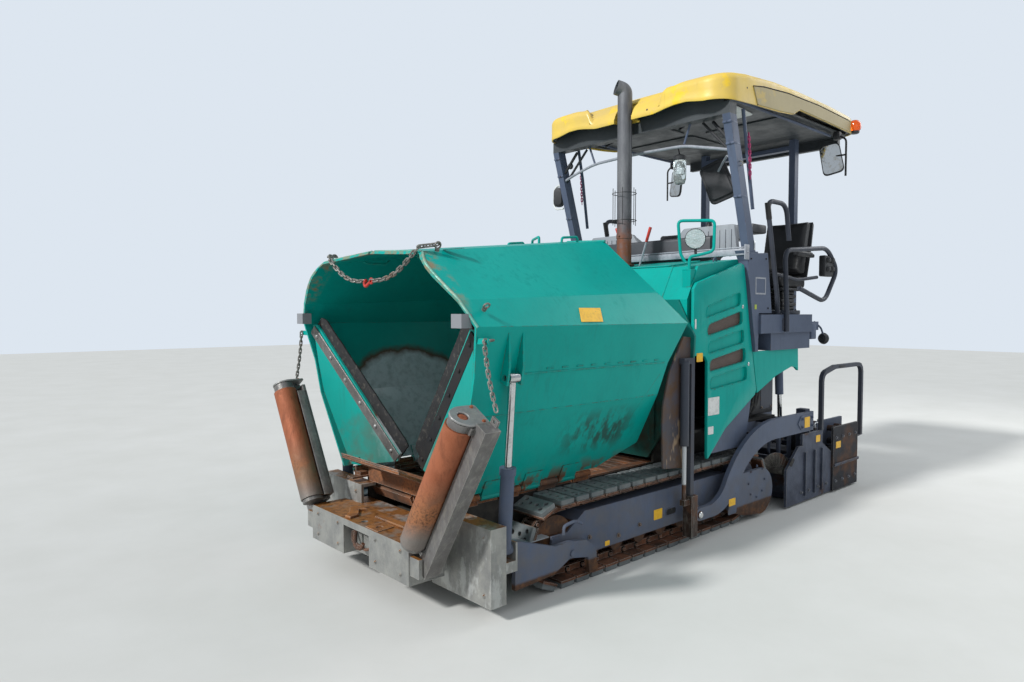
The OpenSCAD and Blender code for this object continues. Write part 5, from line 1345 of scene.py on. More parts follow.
def make_canopy():
    """Roof shell from rings, with its side panels, grooves, lamps and visor."""
    shell = Piece("shell")
    mesh = shell.mesh
    _, xs, ys = roof_ring(0.0)
    # Lower rim, outer wall and shoulder, then the crown up to the corners' centres
    shoulder = 0.055
    outer = [(0.0, "low", 0.0), (-0.003, "low", 0.006), (-0.003, "low", 0.030), (0.0, "low", 0.036),
             (0.0, "mid", 0.5)]
    outer += [(shoulder * (1 - math.cos(a)), "top", shoulder * (1 - math.sin(a)))
              for a in (math.radians(10 * k) for k in range(0, 10))]
    outer += [(d, "top", 0.0) for d in (0.075, 0.1, 0.13, 0.155, 0.18)]
    inner = [(0.009, "low", 0.0), (0.009, "low", 0.014), (0.047, "low", 0.014), (0.047, "top", 0.014),
             (0.1, "top", 0.014), (0.14, "top", 0.014), (0.18, "top", 0.014)]

    def ring(inset, kind, offset):
        made = []
        base = roof_ring(0.0)[0]
        for (bx, by), (x, y) in zip(base, roof_ring(max(inset, 0.0))[0]):
            if inset < 0:
                x, y = bx - inset * 0.7 * (1 if bx > -1 else -1), by
            x = notched(x, y, max(inset, 0.0))
            low = roof_low(bx, by)
            edge = roof_top(notched(bx, by, 0.0), by) - shoulder
            if kind == "low":
                z = low + offset
            elif kind == "mid":
                z = low + 0.036 + (edge - low - 0.036) * offset
            else:
                z = roof_top(x, y) - offset
            made.append(mesh.verts.new((x, y, z)))
        return made

    def wall(one, two, finish):
        shell.use(finish)
        for i in range(len(one)):
            j = (i + 1) % len(one)
            face = mesh.faces.new((one[i], one[j], two[j], two[i]))
            face.material_index = shell.index

    def crown(boundary, offset, finish):
        shell.use(finish)
        grid = {}
        n, m = len(xs), len(ys)
        # The ring runs: front (m), corner (8), left side (n), corner, rear (m), corner, right side (n), corner
        for j in range(m):
            grid[0, j] = boundary[j]
            grid[n - 1, m - 1 - j] = boundary[m + 8 + n + 8 + j]
        for i in range(n):
            grid[i, m - 1] = boundary[m + 8 + i]
            grid[n - 1 - i, 0] = boundary[m + 8 + n + 8 + m + 8 + i]
        for i in range(1, n - 1):
            for j in range(1, m - 1):
                x = notched(xs[i], ys[j], 0.18 + 0.0002 * i)
                grid[i, j] = mesh.verts.new((x, ys[j], roof_top(x, ys[j]) - offset))
        for i in range(n - 1):
            for j in range(m - 1):
                loop = []
                for v in (grid[i, j], grid[i + 1, j], grid[i + 1, j + 1], grid[i, j + 1]):
                    if v not in loop:
                        loop.append(v)
                if len(loop) > 2:
                    mesh.faces.new(loop).material_index = shell.index

    rings = [ring(*r) for r in outer]
    for one, two in zip(rings, rings[1:]):
        wall(one, two, "shell")
    crown(rings[-1], 0.0, "shell")
    inside = [ring(*r) for r in inner]
    wall(rings[0], inside[0], "shell")
    wall(inside[0], inside[1], "shell")
    for one, two in zip(inside[1:], inside[2:]):
        wall(one, two, "liner")
    crown(inside[-1], 0.014, "liner")
    bmesh.ops.remove_doubles(mesh, verts=mesh.verts, dist=0.00005)
    bmesh.ops.dissolve_degenerate(mesh, edges=mesh.edges, dist=0.00002)
    bmesh.ops.recalc_face_normals(mesh, faces=mesh.faces)
    for s in (1, -1):
        # Side panel, let in under a dark seam
        top = [(-0.385, 3.352), (-0.55, 3.378), (-0.93, 3.408), (-1.47, 3.418), (-2.08, 3.402), (-2.125, 3.392)]
        low = [(-2.125, 3.304), (-1.55, 3.316), (-1.15, 3.322), (-1.13, 3.318), (-1.03, 3.266), (-0.81, 3.246),
               (-0.45, 3.229)]
        seam = [(x, s * 0.9262, z + 0.006) for x, z in top]
        shell.use("rubber")
        shell.pipe([(-0.458, s * 0.9262, 3.226)] + seam, 0.0045, sides=6)
        shell.use("panel")
        shell.plate(softened(top + low, 0.008, 2), 0.009, facing_side(s, 0.9225, 0.009), bevel=0.003)
        shell.use("rubber")
        shell.plate(circle(-0.30, 3.325, 0.007, 12), 0.003, facing_y(s * 0.9245 - 0.0015), bevel=0.0)
    # Rear lamps, the puck on top and the bolts of the brow
    for s in (1, -1):
        shell.use("plastic")
        shell.spun([(0.030, 0.0), (0.040, 0.006), (0.042, 0.020), (0.040, 0.024)], (-2.205, s * 0.935, 3.302),
                   (0, 0, 1))
        shell.use("amber")
        shell.spun([(0.040, 0.0), (0.050, 0.014), (0.055, 0.034), (0.054, 0.060), (0.046, 0.082), (0.030, 0.097),
                    (0.010, 0.103)], (-2.205, s * 0.935, 3.325), (0, 0, 1))
    shell.use("stencil")
    shell.spun([(0.022, -0.02), (0.022, 0.014), (0.010, 0.022), (0.009, 0.060), (0.006, 0.064)], (-0.41, 0.60, 3.452),
               (0, 0, 1), 16)
    shell.use("plastic")
    for y in (-0.62, 0.24):
        shell.spun([(0.007, -0.004), (0.008, 0.002), (0.004, 0.004)], (0.012, y, 3.247), (1, 0, 0), 12)
    shell.done("canopy_shell", "chassis", "yellow_shell", "canopy_roof")


def make_under_canopy():
    """Braces, struts, lamp and the grey boards under the roof."""
    brace = Piece("stencil")
    for s in (1, -1):
        brace.use("stencil")
        brace.pipe([(-0.20, s * 0.845, 2.865), (-0.17, s * 0.69, 2.90), (-0.17, s * 0.46, 2.955),
                    (-0.17, s * 0.10, 2.965)],
                   0.012, bend=0.08, sides=10)
        brace.use("grey")
        brace.pipe([(-0.17, s * 0.46, 2.955), (-0.165, s * 0.52, 3.112)], 0.009, sides=8)
        brace.use("plastic")
        # Folding triangle in the corner of post and beam
        brace.pipe([(-0.19, s * 0.845, 2.93), (-0.20, s * 0.70, 3.10)], 0.013, sides=8)
        brace.pipe([(-0.215, s * 0.855, 2.84), (-0.22, s * 0.60, 3.112)], 0.011, sides=8)
        brace.spun([(0.022, -0.014), (0.026, -0.010), (0.026, 0.010), (0.022, 0.014)],
                   (-0.205, s * 0.79, 2.99), (1, 0, 0), 14)
        # Gas spring from the beam to the liner
        brace.use("plastic")
        brace.rod((-0.22, s * 0.38, 3.10), (-0.38, s * 0.36, 3.20), 0.010, sides=10)
        brace.use("chrome")
        brace.rod((-0.38, s * 0.36, 3.20), (-0.52, s * 0.345, 3.284), 0.005, sides=8)
    brace.use("stencil")
    brace.pipe([(-0.17, 0.10, 2.965), (-0.17, -0.10, 2.965)], 0.012, sides=10)
    # Lamp that hangs from the brace: clear bell under a grey cap
    brace.use("plastic")
    brace.spun([(0.015, 0.0), (0.050, 0.004), (0.052, 0.030), (0.030, 0.044), (0.012, 0.05)],
               (-0.235, 0.38, 2.862), (0, 0, 1))
    brace.pipe([(-0.235, 0.38, 2.905), (-0.20, 0.39, 2.945), (-0.172, 0.40, 2.957)], 0.006, sides=8)
    brace.use("reflector")
    brace.spun([(0.010, 0.0), (0.030, 0.01), (0.034, 0.06), (0.020, 0.10), (0.012, 0.11)],
               (-0.235, 0.38, 2.742), (0, 0, 1))
    brace.use("glass")
    brace.spun([(0.020, 0.0), (0.040, 0.006), (0.050, 0.04), (0.052, 0.15), (0.050, 0.188)],
               (-0.235, 0.38, 2.672), (0, 0, 1))
    brace.done("roof_braces", "chassis", "black_paint")
    board = Piece("liner")
    # Coffers of the liner, its light board and the fan boxes
    for x0, x1 in ((-0.98, -0.30), (-1.72, -1.06)):
        for y0, y1 in ((-0.80, -0.06), (0.06, 0.80)):
            board.plate(softened(rectangle(x0, y0, x1, y1), 0.06, 4), 0.012, facing_z(3.2725), bevel=0.005,
                        segments=2)
    board.use("label_white")
    board.plate(softened([(-0.42, 0.50), (-0.42, 0.74), (-0.80, 0.70), (-0.80, 0.46)], 0.03, 3), 0.010,
                facing_z(3.262),
                bevel=0.003)
    board.use("grey")
    board.block((-0.40, 0.06, 3.225), (-0.22, 0.30, 3.2725), 0.012)
    board.block((-0.40, -0.34, 3.225), (-0.22, -0.10, 3.2725), 0.012)
    for s in (1, -1):
        board.pipe([(-0.25, s * 0.82, 3.262), (-1.95, s * 0.82, 3.262)], 0.012, sides=8)
    board.done("canopy_boards", "chassis", "grey_paint")
    for s, name in ((1, "left"), (-1, "right")):
        clamp = Piece("grey")
        lean = Vector((0.393, 0, 0.99)).normalized()
        for z in (3.06, 2.91, 2.53):
            x = -0.097 - (3.11 - z) * 0.3061
            clamp.block((x - 0.092, s * 0.872 - 0.036, z - 0.014), (x + 0.004, s * 0.872 + 0.034, z + 0.002), 0.003)
            clamp.bolt((x + 0.003, s * 0.872, z - 0.006), (1, 0, -0.3), 0.007)
        clamp.use("link")
        clamp.ring((-0.245, s * 0.9125, 2.76), lean, 0.016, 0.005, across=(0, s, 0))
        clamp.use("chrome")
        clamp.block((-0.480, s * 0.9055 - 0.004, 2.128), (-0.462, s * 0.9055 + 0.004, 2.20), 0.002)
        # Folding strut behind the post, and the pink chain that hangs on it
        clamp.use("grey")
        clamp.pipe([(-0.375, s * 0.85, 3.20), (-0.44, s * 0.85, 2.90), (-0.52, s * 0.86, 2.45)], 0.014, sides=10)
        clamp.use("pink")
        clamp.chain([(-0.43, s * 0.868, 3.02), (-0.445, s * 0.872, 2.85), (-0.455, s * 0.872, 2.68)], 0.004, 0.026)
        clamp.done("post_clamps_" + name, "chassis", "grey_paint")


# Driver's place

def cushion(name, outline, half, thick_cap, finish="seat"):
    """Padded piece from a side outline: pumped up like a stuffed cover."""
    piece = Piece(finish)
    piece.plate(softened(outline, 0.03, 3), 2 * half, facing_y(-half), bevel=0.022, segments=3)
    thing = piece.write(name)
    piece.mesh.free()
    bpy.data.meshes.remove(piece.scratch)
    remesh = thing.modifiers.new("even", "REMESH")
    remesh.mode = "VOXEL"
    remesh.voxel_size = 0.009
    settle(thing)
    rest = [v.co.copy() for v in thing.data.vertices]
    cloth = thing.modifiers.new("cover", "CLOTH")
    cloth.settings.use_pressure = True
    cloth.settings.uniform_pressure_force = 4.0
    cloth.settings.effector_weights.gravity = 0.0
    cloth.settings.quality = 5
    for step in range(1, 21):
        bpy.context.scene.frame_set(step)
    settle(thing)
    bpy.context.scene.frame_set(1)
    for vert, start in zip(thing.data.vertices, rest):
        move = vert.co - start
        if move.length > thick_cap:
            vert.co = start + move.normalized() * thick_cap
    return thing


def settle(thing):
    """Turns the piece's modifiers into its mesh."""
    seen = bpy.context.evaluated_depsgraph_get()
    mesh = bpy.data.meshes.new_from_object(thing.evaluated_get(seen))
    old = thing.data
    thing.modifiers.clear()
    thing.data = mesh
    bpy.data.meshes.remove(old)


def make_seats():
    """Two seats on bellows, each with a cushion and a bent back."""
    base = Piece("plastic")
    seat_y = 0.60
    z = 1.63
    for s in (1, -1):
        y = s * seat_y
        base.use("deep_grey")
        base.block((-1.47, y - 0.20, z), (-1.17, y + 0.20, z + 0.035), 0.006)
        for x in (-1.44, -1.20):
            base.bolt((x, y + 0.17, z + 0.035), (0, 0, 1), 0.009)
            base.bolt((x, y - 0.17, z + 0.035), (0, 0, 1), 0.009)
        base.use("wire")
        for k in range(5):
            w = 0.005 if k % 2 else -0.006
            base.block((-1.44 - w, y - 0.17 - w, z + 0.036 + 0.034 * k),
                       (-1.20 + w, y + 0.17 + w, z + 0.070 + 0.034 * k), 0.012)
        base.use("plastic")
        base.block((-1.52, y - 0.215, z + 0.205), (-1.12, y + 0.215, z + 0.228), 0.008)
        base.rod((-1.14, y + 0.1, z + 0.19), (-1.06, y + 0.1, z + 0.19), 0.009)
        # Shell behind the back
        back = [(-1.565, z + 0.30), (-1.585, z + 0.305), (-1.655, z + 0.55), (-1.705, z + 0.80), (-1.685, z + 0.83),
                (-1.640, z + 0.55)]
        base.plate(softened(back, 0.01, 2), 0.40, facing_y(y - 0.20), bevel=0.008, segments=2)
        # Arm rests
        for t in (1, -1):
            base.block((-1.56, y + t * 0.245 - 0.022, z + 0.50), (-1.27, y + t * 0.245 + 0.022, z + 0.545),
                       0.014, segments=3)
            base.rod((-1.575, y + t * 0.205, z + 0.515), (-1.575, y + t * 0.262, z + 0.515), 0.016, sides=14)
    base.done("seat_bases", "chassis", "black_plastic", "seats")
    seat = cushion("seat_cushion_left", [(-1.545, z + 0.235), (-1.125, z + 0.235), (-1.090, z + 0.27),
                                         (-1.095, z + 0.325),
                                         (-1.15, z + 0.350), (-1.40, z + 0.318), (-1.545, z + 0.325)], 0.215, 0.012)
    back = cushion("seat_back_left", [(-1.455, z + 0.352), (-1.548, z + 0.352), (-1.600, z + 0.53),
                                      (-1.662, z + 0.80),
                                      (-1.640, z + 0.835), (-1.590, z + 0.825), (-1.528, z + 0.56)], 0.200, 0.012)
    for thing in (seat, back):
        shift_and_twin(thing, seat_y)
    piping = Piece("seat")
    for s in (1, -1):
        y = s * seat_y
        for t in (0.11, -0.11):
            piping.pipe([(-1.13, y + t, z + 0.356), (-1.40, y + t, z + 0.329), (-1.53, y + t, z + 0.334)],
                        0.0035, sides=6)
            piping.pipe([(-1.462, y + t, z + 0.40), (-1.521, y + t, z + 0.56), (-1.578, y + t, z + 0.80)],
                        0.0035, sides=6)
    piping.done("seat_piping", "chassis", "seat_cover")


def shift_and_twin(thing, y):
    """Moves the cushion to the left seat and makes its mirror image on the right one."""
    for s, name in ((-1, thing.name.replace("left", "right")), (1, None)):
        mesh = thing.data.copy() if name else thing.data
        work = bmesh.new()
        work.from_mesh(mesh)
        bmesh.ops.translate(work, verts=work.verts, vec=(0, y, 0))
        if name:
            bmesh.ops.scale(work, vec=(1, s, 1), verts=work.verts)
            bmesh.ops.reverse_faces(work, faces=work.faces)
        work.to_mesh(mesh)
        work.free()
        mesh.shade_smooth()
        target = thing
        if name:
            target = bpy.data.objects.new(name, mesh)
            bpy.context.collection.objects.link(target)
        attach(target, "chassis")
        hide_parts("seats")


def make_console():
    """Operator's desk: housing, switches, instrument hoods and levers."""
    desk = Piece("console")
    z = 1.63
    # Desk that slopes to the seats
    side = [(-0.4005, z), (-0.4005, z + 0.63), (-0.45, z + 0.64), (-0.64, z + 0.55), (-0.64, z + 0.49),
            (-0.56, z + 0.45),
            (-0.56, z)]
    desk.plate(softened(side, 0.02, 3), 1.12, facing_y(-0.56), bevel=0.006, segments=2)
    for s in (1, -1):
        # Pale instrument hood before each seat, ribbed on its front
        desk.use("pale_grey")
        hood = [(s * 0.10, z + 0.50), (s * 0.27, z + 0.715), (s * 0.74, z + 0.715), (s * 0.77, z + 0.50)]
        desk.plate(softened(hood, 0.02, 3), -0.045, facing_x(-0.452), bevel=0.008, segments=2)
        desk.plate(softened([(-0.47, z + 0.60), (-0.47, z + 0.700), (-0.50, z + 0.712), (-0.70, z + 0.630),
                             (-0.69, z + 0.595)],
                            0.02, 3), 0.46, facing_side(s, 0.28, 0.46), bevel=0.008, segments=2)
        for k in range(10):
            y = s * (0.245 + 0.052 * k)
            top = z + 0.675 - max(0.0, 0.30 - abs(y)) * 0.9
            desk.block((-0.4555, y - 0.009, z + 0.46), (-0.4425, y + 0.009, top), 0.003)
    # Grey lid box near the left seat
    desk.use("console")
    desk.block((-0.86, 0.60, z + 0.66), (-0.64, 0.80, z + 0.73), 0.014)
    desk.pipe([(-0.75, 0.70, z + 0.67), (-0.70, 0.68, z + 0.40), (-0.60, 0.64, z + 0.30)], 0.014, bend=0.05)
    # Panel of switches on the slope and its round dials, all blank
    slope = facing((-0.545, 0.0, z + 0.5955), (0, -1, 0), (-0.19, 0, -0.09))
    desk.use("plastic")
    desk.plate(softened(rectangle(-0.07, -0.075, 0.07, 0.075), 0.02, 3), 0.010, slope, bevel=0.003)
    desk.use("stencil")
    for k in range(3):
        for r in (-0.04, 0.0, 0.04):
            y = -0.042 + 0.042 * k
            desk.plate(softened(rectangle(y - 0.014, r - 0.012, y + 0.014, r + 0.012), 0.004, 2), 0.016,
                       slope, bevel=0.002)
    # Stick with its bellows and grip
    desk.use("wire")
    for k in range(4):
        r = 0.045 - 0.007 * k
        desk.spun([(r * 0.8, 0.0), (r, 0.006), (r * 0.8, 0.014)],
                  (-0.600 - 0.004 * k, 0.38, z + 0.545 + 0.014 * k), (-0.26, 0, 1), 18)
    desk.use("plastic")
    desk.spun([(0.014, 0.0), (0.022, 0.02), (0.028, 0.06), (0.027, 0.10), (0.016, 0.125)], (-0.648, 0.38, z + 0.66),
              (-0.26, 0, 1), 18)
    desk.done("operator_desk", "chassis", "black_plastic", "console")


RAIL_LOW = [(-0.957, 1.63), (-0.957, 1.75), (-0.764, 2.548), (-1.080, 2.548), (-1.140, 2.25)]
RAIL_OUT = [(-0.946, 1.49), (-0.946, 1.60), (-0.894, 2.151), (-1.662, 2.213), (-1.874, 2.029), (-1.622, 1.738),
            (-1.147, 1.85)]


def make_rails():
    """Hand rails of the platform with their clamps and the control box."""
    rail = Piece("deep_grey")
    for y, path in ((0.85, RAIL_LOW), (0.94, RAIL_OUT)):
        rail.pipe([(x, y, z) for x, z in path], 0.0195, bend=0.10, sides=16, steps=6)
    rail.spun([(0.034, 0.0), (0.036, 0.004), (0.036, 0.010), (0.0195, 0.014)], (-0.957, 0.85, 1.630), (0, 0, 1), 20)
    rail.block((-0.985, 0.895, 1.50), (-0.905, 0.925, 1.60), 0.004)
    for z in (1.525, 1.575):
        rail.bolt((-0.965, 0.925, z), (0, 1, 0), 0.008)
    # Second bar of the low rail, and the strut that ties both
    rail.pipe([(-0.905, 0.85, 1.965), (-1.30, 0.85, 1.925), (-1.56, 0.90, 1.955)], 0.015, bend=0.05, sides=12)
    # Grip
    rail.use("wire")
    rail.pipe([(-0.80, 0.85, 2.40), (-0.768, 0.85, 2.53)], 0.0225, sides=16)
    # Control box in the outer rail, with its round glands
    rail.use("plastic")
    rail.block((-1.80, 0.885, 1.965), (-1.62, 0.945, 2.150), 0.012)
    for x, z in ((-1.75, 2.11), (-1.67, 2.11), (-1.75, 2.03), (-1.67, 2.03)):
        rail.spun([(0.024, 0.0), (0.026, 0.006), (0.018, 0.022), (0.008, 0.024)], (x, 0.945, z), (0, 1, 0), 16)
    rail.done("hand_rails_SIDE", "chassis", "black_paint", "rails", side="each")


def make_rear_body():
    """What hangs on the sides of the platform and the columns."""
    body = Piece("green")
    for s in (1, -1):
        # Kick strips, blank plates and bolts of the grey column
        body.use("grey")
        column = [(-0.392, 2.10), (-0.395, 1.955), (-0.482, 1.51), (-0.514, 1.37), (-0.56, 1.45), (-0.56, 1.640),
                  (-0.765, 1.640), (-0.690, 2.118)]
        body.plate(softened(column, 0.006, 2), 0.005, facing_side(s, 0.898, 0.005), bevel=0.002)
        outer = 0.903 if s > 0 else -0.905
        body.use("stencil")
        body.plate(rectangle(-0.660, 1.788, -0.500, 1.922), 0.002, facing_y(outer), bevel=0.0,
                   holes=[rectangle(-0.648, 1.800, -0.512, 1.910)])
        body.use("label_green")
        body.plate(rectangle(-0.522, 1.672, -0.492, 1.708), 0.002, facing_y(outer), bevel=0.0)
        body.use("plastic")
        for x, z in ((-0.43, 2.06), (-0.66, 2.07), (-0.70, 1.68)):
            body.bolt((x, s * 0.903, z), (0, s, 0), 0.007)
        # Round rear lamp, its bracket, and the socket box beside it
        body.use("grey")
        body.block((-1.90, s * 0.715 - 0.035, 1.40), (-1.80, s * 0.715 + 0.035, 1.545), 0.008)
        body.pipe([(-2.04, s * 0.66, 1.56), (-2.06, s * 0.72, 1.50), (-2.06, s * 0.74, 1.44)], 0.009, bend=0.02)
        lamp(body, (-2.075, s * 0.74, 1.40), (-1, s * 0.15, 0), 0.055)
    # Rubbing strip along the platform and the grip mat on it
    for s in (1, -1):
        body.use("wire")
        body.block((-1.42, min(s * 0.28, s * 0.52), 1.6302), (-0.72, max(s * 0.28, s * 0.52), 1.636), 0.002)
        for k in range(14):
            x = -1.40 + 0.05 * k
            body.block((x, min(s * 0.29, s * 0.51), 1.636), (x + 0.022, max(s * 0.29, s * 0.51), 1.640),
                       0.0015, segments=1)
    body.done("rear_body_fittings", "chassis", "grey_paint")


def make_rear_cases():
    """Dark case between the tank and the tow arm, under the green rear panel, with its hoses and hose ends."""
    case = Piece("plastic")
    case.block((-1.015, 0.560, 0.8105), (-0.600, 0.795, 1.2500), 0.014)
    case.use("deep_grey")
    case.block((-1.012, 0.792, 1.190), (-0.610, 0.803, 1.235), 0.003)
    case.plate(softened(rectangle(-0.985, 0.850, -0.800, 1.120), 0.02, 3), 0.004, facing_y(0.7948), bevel=0.001)
    case.use("rubber")
    for x, low, sag in ((-0.650, 0.84, 0.010), (-0.690, 0.83, 0.016), (-0.735, 0.87, 0.012)):
        case.pipe([(x, 0.808, 1.185), (x - sag, 0.814, 1.04), (x + 0.020, 0.812, low + 0.05),
                   (x + 0.055, 0.806, low)], 0.012,
                  bend=0.05)
    case.use("chrome")
    for x, z in ((-0.650, 1.185), (-0.690, 1.185), (-0.735, 1.185)):
        case.rod((x, 0.808, z - 0.030), (x, 0.808, z + 0.004), 0.016, sides=6)
    case.use("chain")
    for x, z in ((-0.970, 1.105), (-0.815, 1.105), (-0.970, 0.865), (-0.815, 0.865)):
        case.bolt((x, 0.7986, z), (0, 1, 0), 0.010)
    case.done("rear_case_SIDE", "chassis", "black_plastic", side="each")


def make_undercarriage_details():
    """Guards, plates, loops and bolts on the track frames."""
    side = Piece("grey")
    # Guard: hole with its rim, plates, loop and bolts; the hole is a black sheet, painted shade inside it
    side.use("rubber")
    side.plate(softened(rectangle(0.385, 0.222, 0.500, 0.262), 0.019, 4), 0.002, facing_y(0.800), bevel=0.0)
    side.use("grey")
    side.pipe([(x, 0.8025, z) for x, z in softened(rectangle(0.380, 0.217, 0.505, 0.267), 0.022, 4)], 0.0035,
              sides=6, closed=True)
    side.use("label_yellow")
    side.plate(softened(rectangle(0.545, 0.215, 0.640, 0.285), 0.005, 2), 0.002, facing_y(0.800), bevel=0.0)
    side.plate(softened(rectangle(1.110, 0.152, 1.155, 0.182), 0.004, 2), 0.002, facing_y(0.800), bevel=0.0)
    side.use("grey")
    # Door of the final drive, its grip and bolts
    side.plate(softened([(-0.300, 0.105), (-0.300, 0.255), (-0.180, 0.255), (-0.180, 0.105)], 0.015, 3),
               0.003, facing_y(0.8800),
               bevel=0.001)
    side.pipe([(-0.170, 0.884, 0.15), (-0.165, 0.896, 0.16), (-0.165, 0.896, 0.21), (-0.170, 0.884, 0.22)],
              0.005, sides=8)
    for a in range(8):
        turn = 2 * math.pi * a / 8
        side.bolt((-0.600 + 0.125 * math.cos(turn), 0.8805, 0.30 + 0.125 * math.sin(turn)), (0, 1, 0), 0.009)
    # Loop and bolts of the front bracket, and a pale sheet on its top: painted highlight where the sun lights the top
    side.pipe([(1.60, 0.86, 0.335), (1.60, 0.86, 0.385), (1.50, 0.86, 0.400), (1.44, 0.86, 0.370)], 0.010, bend=0.03)
    side.use("pale_grey")
    side.plate(softened(rectangle(1.70, 0.715, 2.02, 0.845), 0.01, 2), 0.004, facing_z(0.338), bevel=0.001)
    side.use("chain")
    for x, z in ((1.305, 0.244), (1.022, 0.195), (0.80, 0.22), (0.22, 0.215)):
        side.bolt((x, 0.801, z), (0, 1, 0), 0.013)
    side.use("grey")
    side.done("track_guard_plates_SIDE", "chassis", "grey_paint", side="each")


def make_arms_and_screed():
    """Plates and fittings on the tow arms, the screed, its walkway and extensions."""
    arm = Piece("grey")
    for s in (1, -1):
        face = 0.9202 if s > 0 else -0.9222
        arm.use("label_yellow")
        arm.plate(softened(rectangle(-1.41, 0.655, -1.315, 0.745), 0.005, 2), 0.002,
                  facing_y(face + 0.008 * s), bevel=0.0)
        arm.plate(softened(rectangle(-0.215, 0.192, -0.125, 0.246), 0.005, 2), 0.002, facing_y(face), bevel=0.0)
        arm.use("grey")
        # Doubler with bolts where the arm meets the screed, and its slotted hole
        arm.plate(softened([(-1.48, 0.640), (-1.48, 0.760), (-1.26, 0.760), (-1.20, 0.700), (-1.26, 0.640)],
                           0.012, 3), 0.008,
                  facing_side(s, 0.920, 0.008), bevel=0.002)
        for x in (-1.45, -1.27):
            for z in (0.665, 0.735):
                arm.bolt((x, s * 0.928, z), (0, s, 0), 0.012)
        arm.use("chrome")
        arm.spun([(0.024, 0.0), (0.024, 0.010), (0.018, 0.016)], (0.26, s * 0.920, 0.2045), (0, s, 0), 20)
        # The slotted hole is a black sheet on the arm: painted shade inside it
        arm.use("rubber")
        arm.plate(softened([(-1.10, 0.345), (-1.055, 0.37), (-1.115, 0.425), (-1.16, 0.40)], 0.014, 3), 0.002,
                  facing_side(s, 0.9225, 0.002), bevel=0.0)
    arm.done("arm_plates", "screed", "grey_paint")
    box = Piece("screed")
    # Crust of old mix along the screed's side plates, ribs, bolts, and the burner pipes on its back
    for s in (1, -1):
        box.use("screed")
        for x in (-1.34, -1.52, -1.66):
            box.block((x - 0.008, s * 0.932 - 0.009, 0.06), (x + 0.008, s * 0.932 + 0.009, 0.44), 0.002)
        for x in (-1.28, -1.42, -1.60, -1.76):
            box.bolt((x, s * 0.9225, 0.10), (0, s, 0), 0.013)
        box.use("label_yellow")
        box.plate(softened(rectangle(-1.63, 0.50, -1.55, 0.56), 0.005, 2), 0.002, facing_side(s, 0.9222, 0.002),
                  bevel=0.0)
    box.use("deep_grey")
    for s in (1, -1):
        box.block((-1.72, s * 0.45 - 0.32, 0.3805), (-1.44, s * 0.45 + 0.32, 0.408), 0.006)
        for k in range(5):
            box.bolt((-1.70, s * (0.18 + 0.13 * k), 0.408), (0, 0, 1), 0.009)
    box.use("grey")
    box.block((-1.74, -0.13, 0.3805), (-1.44, 0.13, 0.52), 0.012)
    for s in (1, -1):
        box.use("deep_grey")
        box.pipe([(-1.58, s * 0.13, 0.46), (-1.58, s * 0.24, 0.50), (-1.60, s * 0.55, 0.44),
                  (-1.62, s * 0.74, 0.42)], 0.011,
                 bend=0.05)
        # Crown and height spindles with their sleeves, nuts and cranks
        for x, y, top in ((-1.54, 0.86, 0.60), (-1.70, 0.84, 0.63), (-1.62, 0.62, 0.59)):
            box.use("tow")
            box.rod((x, s * y, 0.44), (x, s * y, top), 0.012, sides=14)
            box.use("screed")
            box.rod((x, s * y, 0.47), (x, s * y, top - 0.06), 0.026, sides=20, bevel=0.004)
            box.block((x - 0.045, s * y - 0.030, 0.445), (x + 0.045, s * y + 0.030, 0.475), 0.005)
            box.rod((x, s * y, top - 0.045), (x, s * y, top - 0.025), 0.024, sides=6)
            box.use("chrome")
            box.pipe([(x, s * y, top - 0.01), (x, s * y, top + 0.010), (x - 0.060, s * y, top + 0.012),
                      (x - 0.062, s * y, top + 0.045)], 0.007, bend=0.010)
        # Cylinder that lifts the walkway's edge, and a black box with its yellow plate
        box.use("grey")
        box.rod((-1.78, s * 0.70, 0.50), (-1.78, s * 0.36, 0.50), 0.030, sides=22, bevel=0.004)
        box.use("chrome")
        box.rod((-1.78, s * 0.70, 0.50), (-1.78, s * 0.80, 0.50), 0.014)
        box.use("plastic")
        box.block((-1.64, s * 0.74 - 0.06, 0.409), (-1.51, s * 0.74 + 0.06, 0.56), 0.014)
        box.use("label_yellow")
        box.plate(rectangle(-1.62, 0.47, -1.53, 0.53), 0.002, facing_side(s, 0.8002, 0.002), bevel=0.0)
    box.done("screed_fittings", "screed", "grey_paint")
    walk = Piece("deep_grey")
    # Grip studs, rear plates and handles of the walkway
    for r in range(3):
        for k in range(24):
            y = -0.86 + 0.0748 * k
            walk.spun([(0.011, 0.0), (0.010, 0.004), (0.006, 0.005)], (-2.51 + 0.035 * r * 1.4, y, 0.4902),
                      (0, 0, 1), 8)
    walk.use("label_yellow")
    for s in (1, -1):
        walk.plate(softened(rectangle(s * 0.62 - 0.07, 0.446, s * 0.62 + 0.07, 0.476), 0.004, 2), -0.002,
                   facing_x(-2.5502),
                   bevel=0.0)
    walk.use("wire")
    for s in (1, -1):
        walk.pipe([(-2.10, s * 0.918, 1.150), (-1.97, s * 0.918, 1.150)], 0.021, sides=16)
    walk.done("walkway_fittings", "screed", "grey_paint")
    for which, s in (("left", 1), ("right", -1)):
        end = Piece("screed")
        for x in (-2.34, -2.20, -2.06, -1.92):
            end.bolt((x, s * 0.9405, 0.10), (0, s, 0), 0.013)
            end.bolt((x, s * 0.9405, 0.50), (0, s, 0), 0.013)
        end.use("screed")
        end.block((-2.40, s * 0.9485 - 0.008, 0.24), (-1.875, s * 0.9485 + 0.008, 0.262), 0.002)
        end.use("label_yellow")
        end.plate(softened(rectangle(-2.02, 0.40, -1.92, 0.46), 0.005, 2), 0.002, facing_side(s, 0.9402, 0.002),
                  bevel=0.0)
        end.done("extension_plates_" + which, "screed_extension_" + which, "grey_paint")


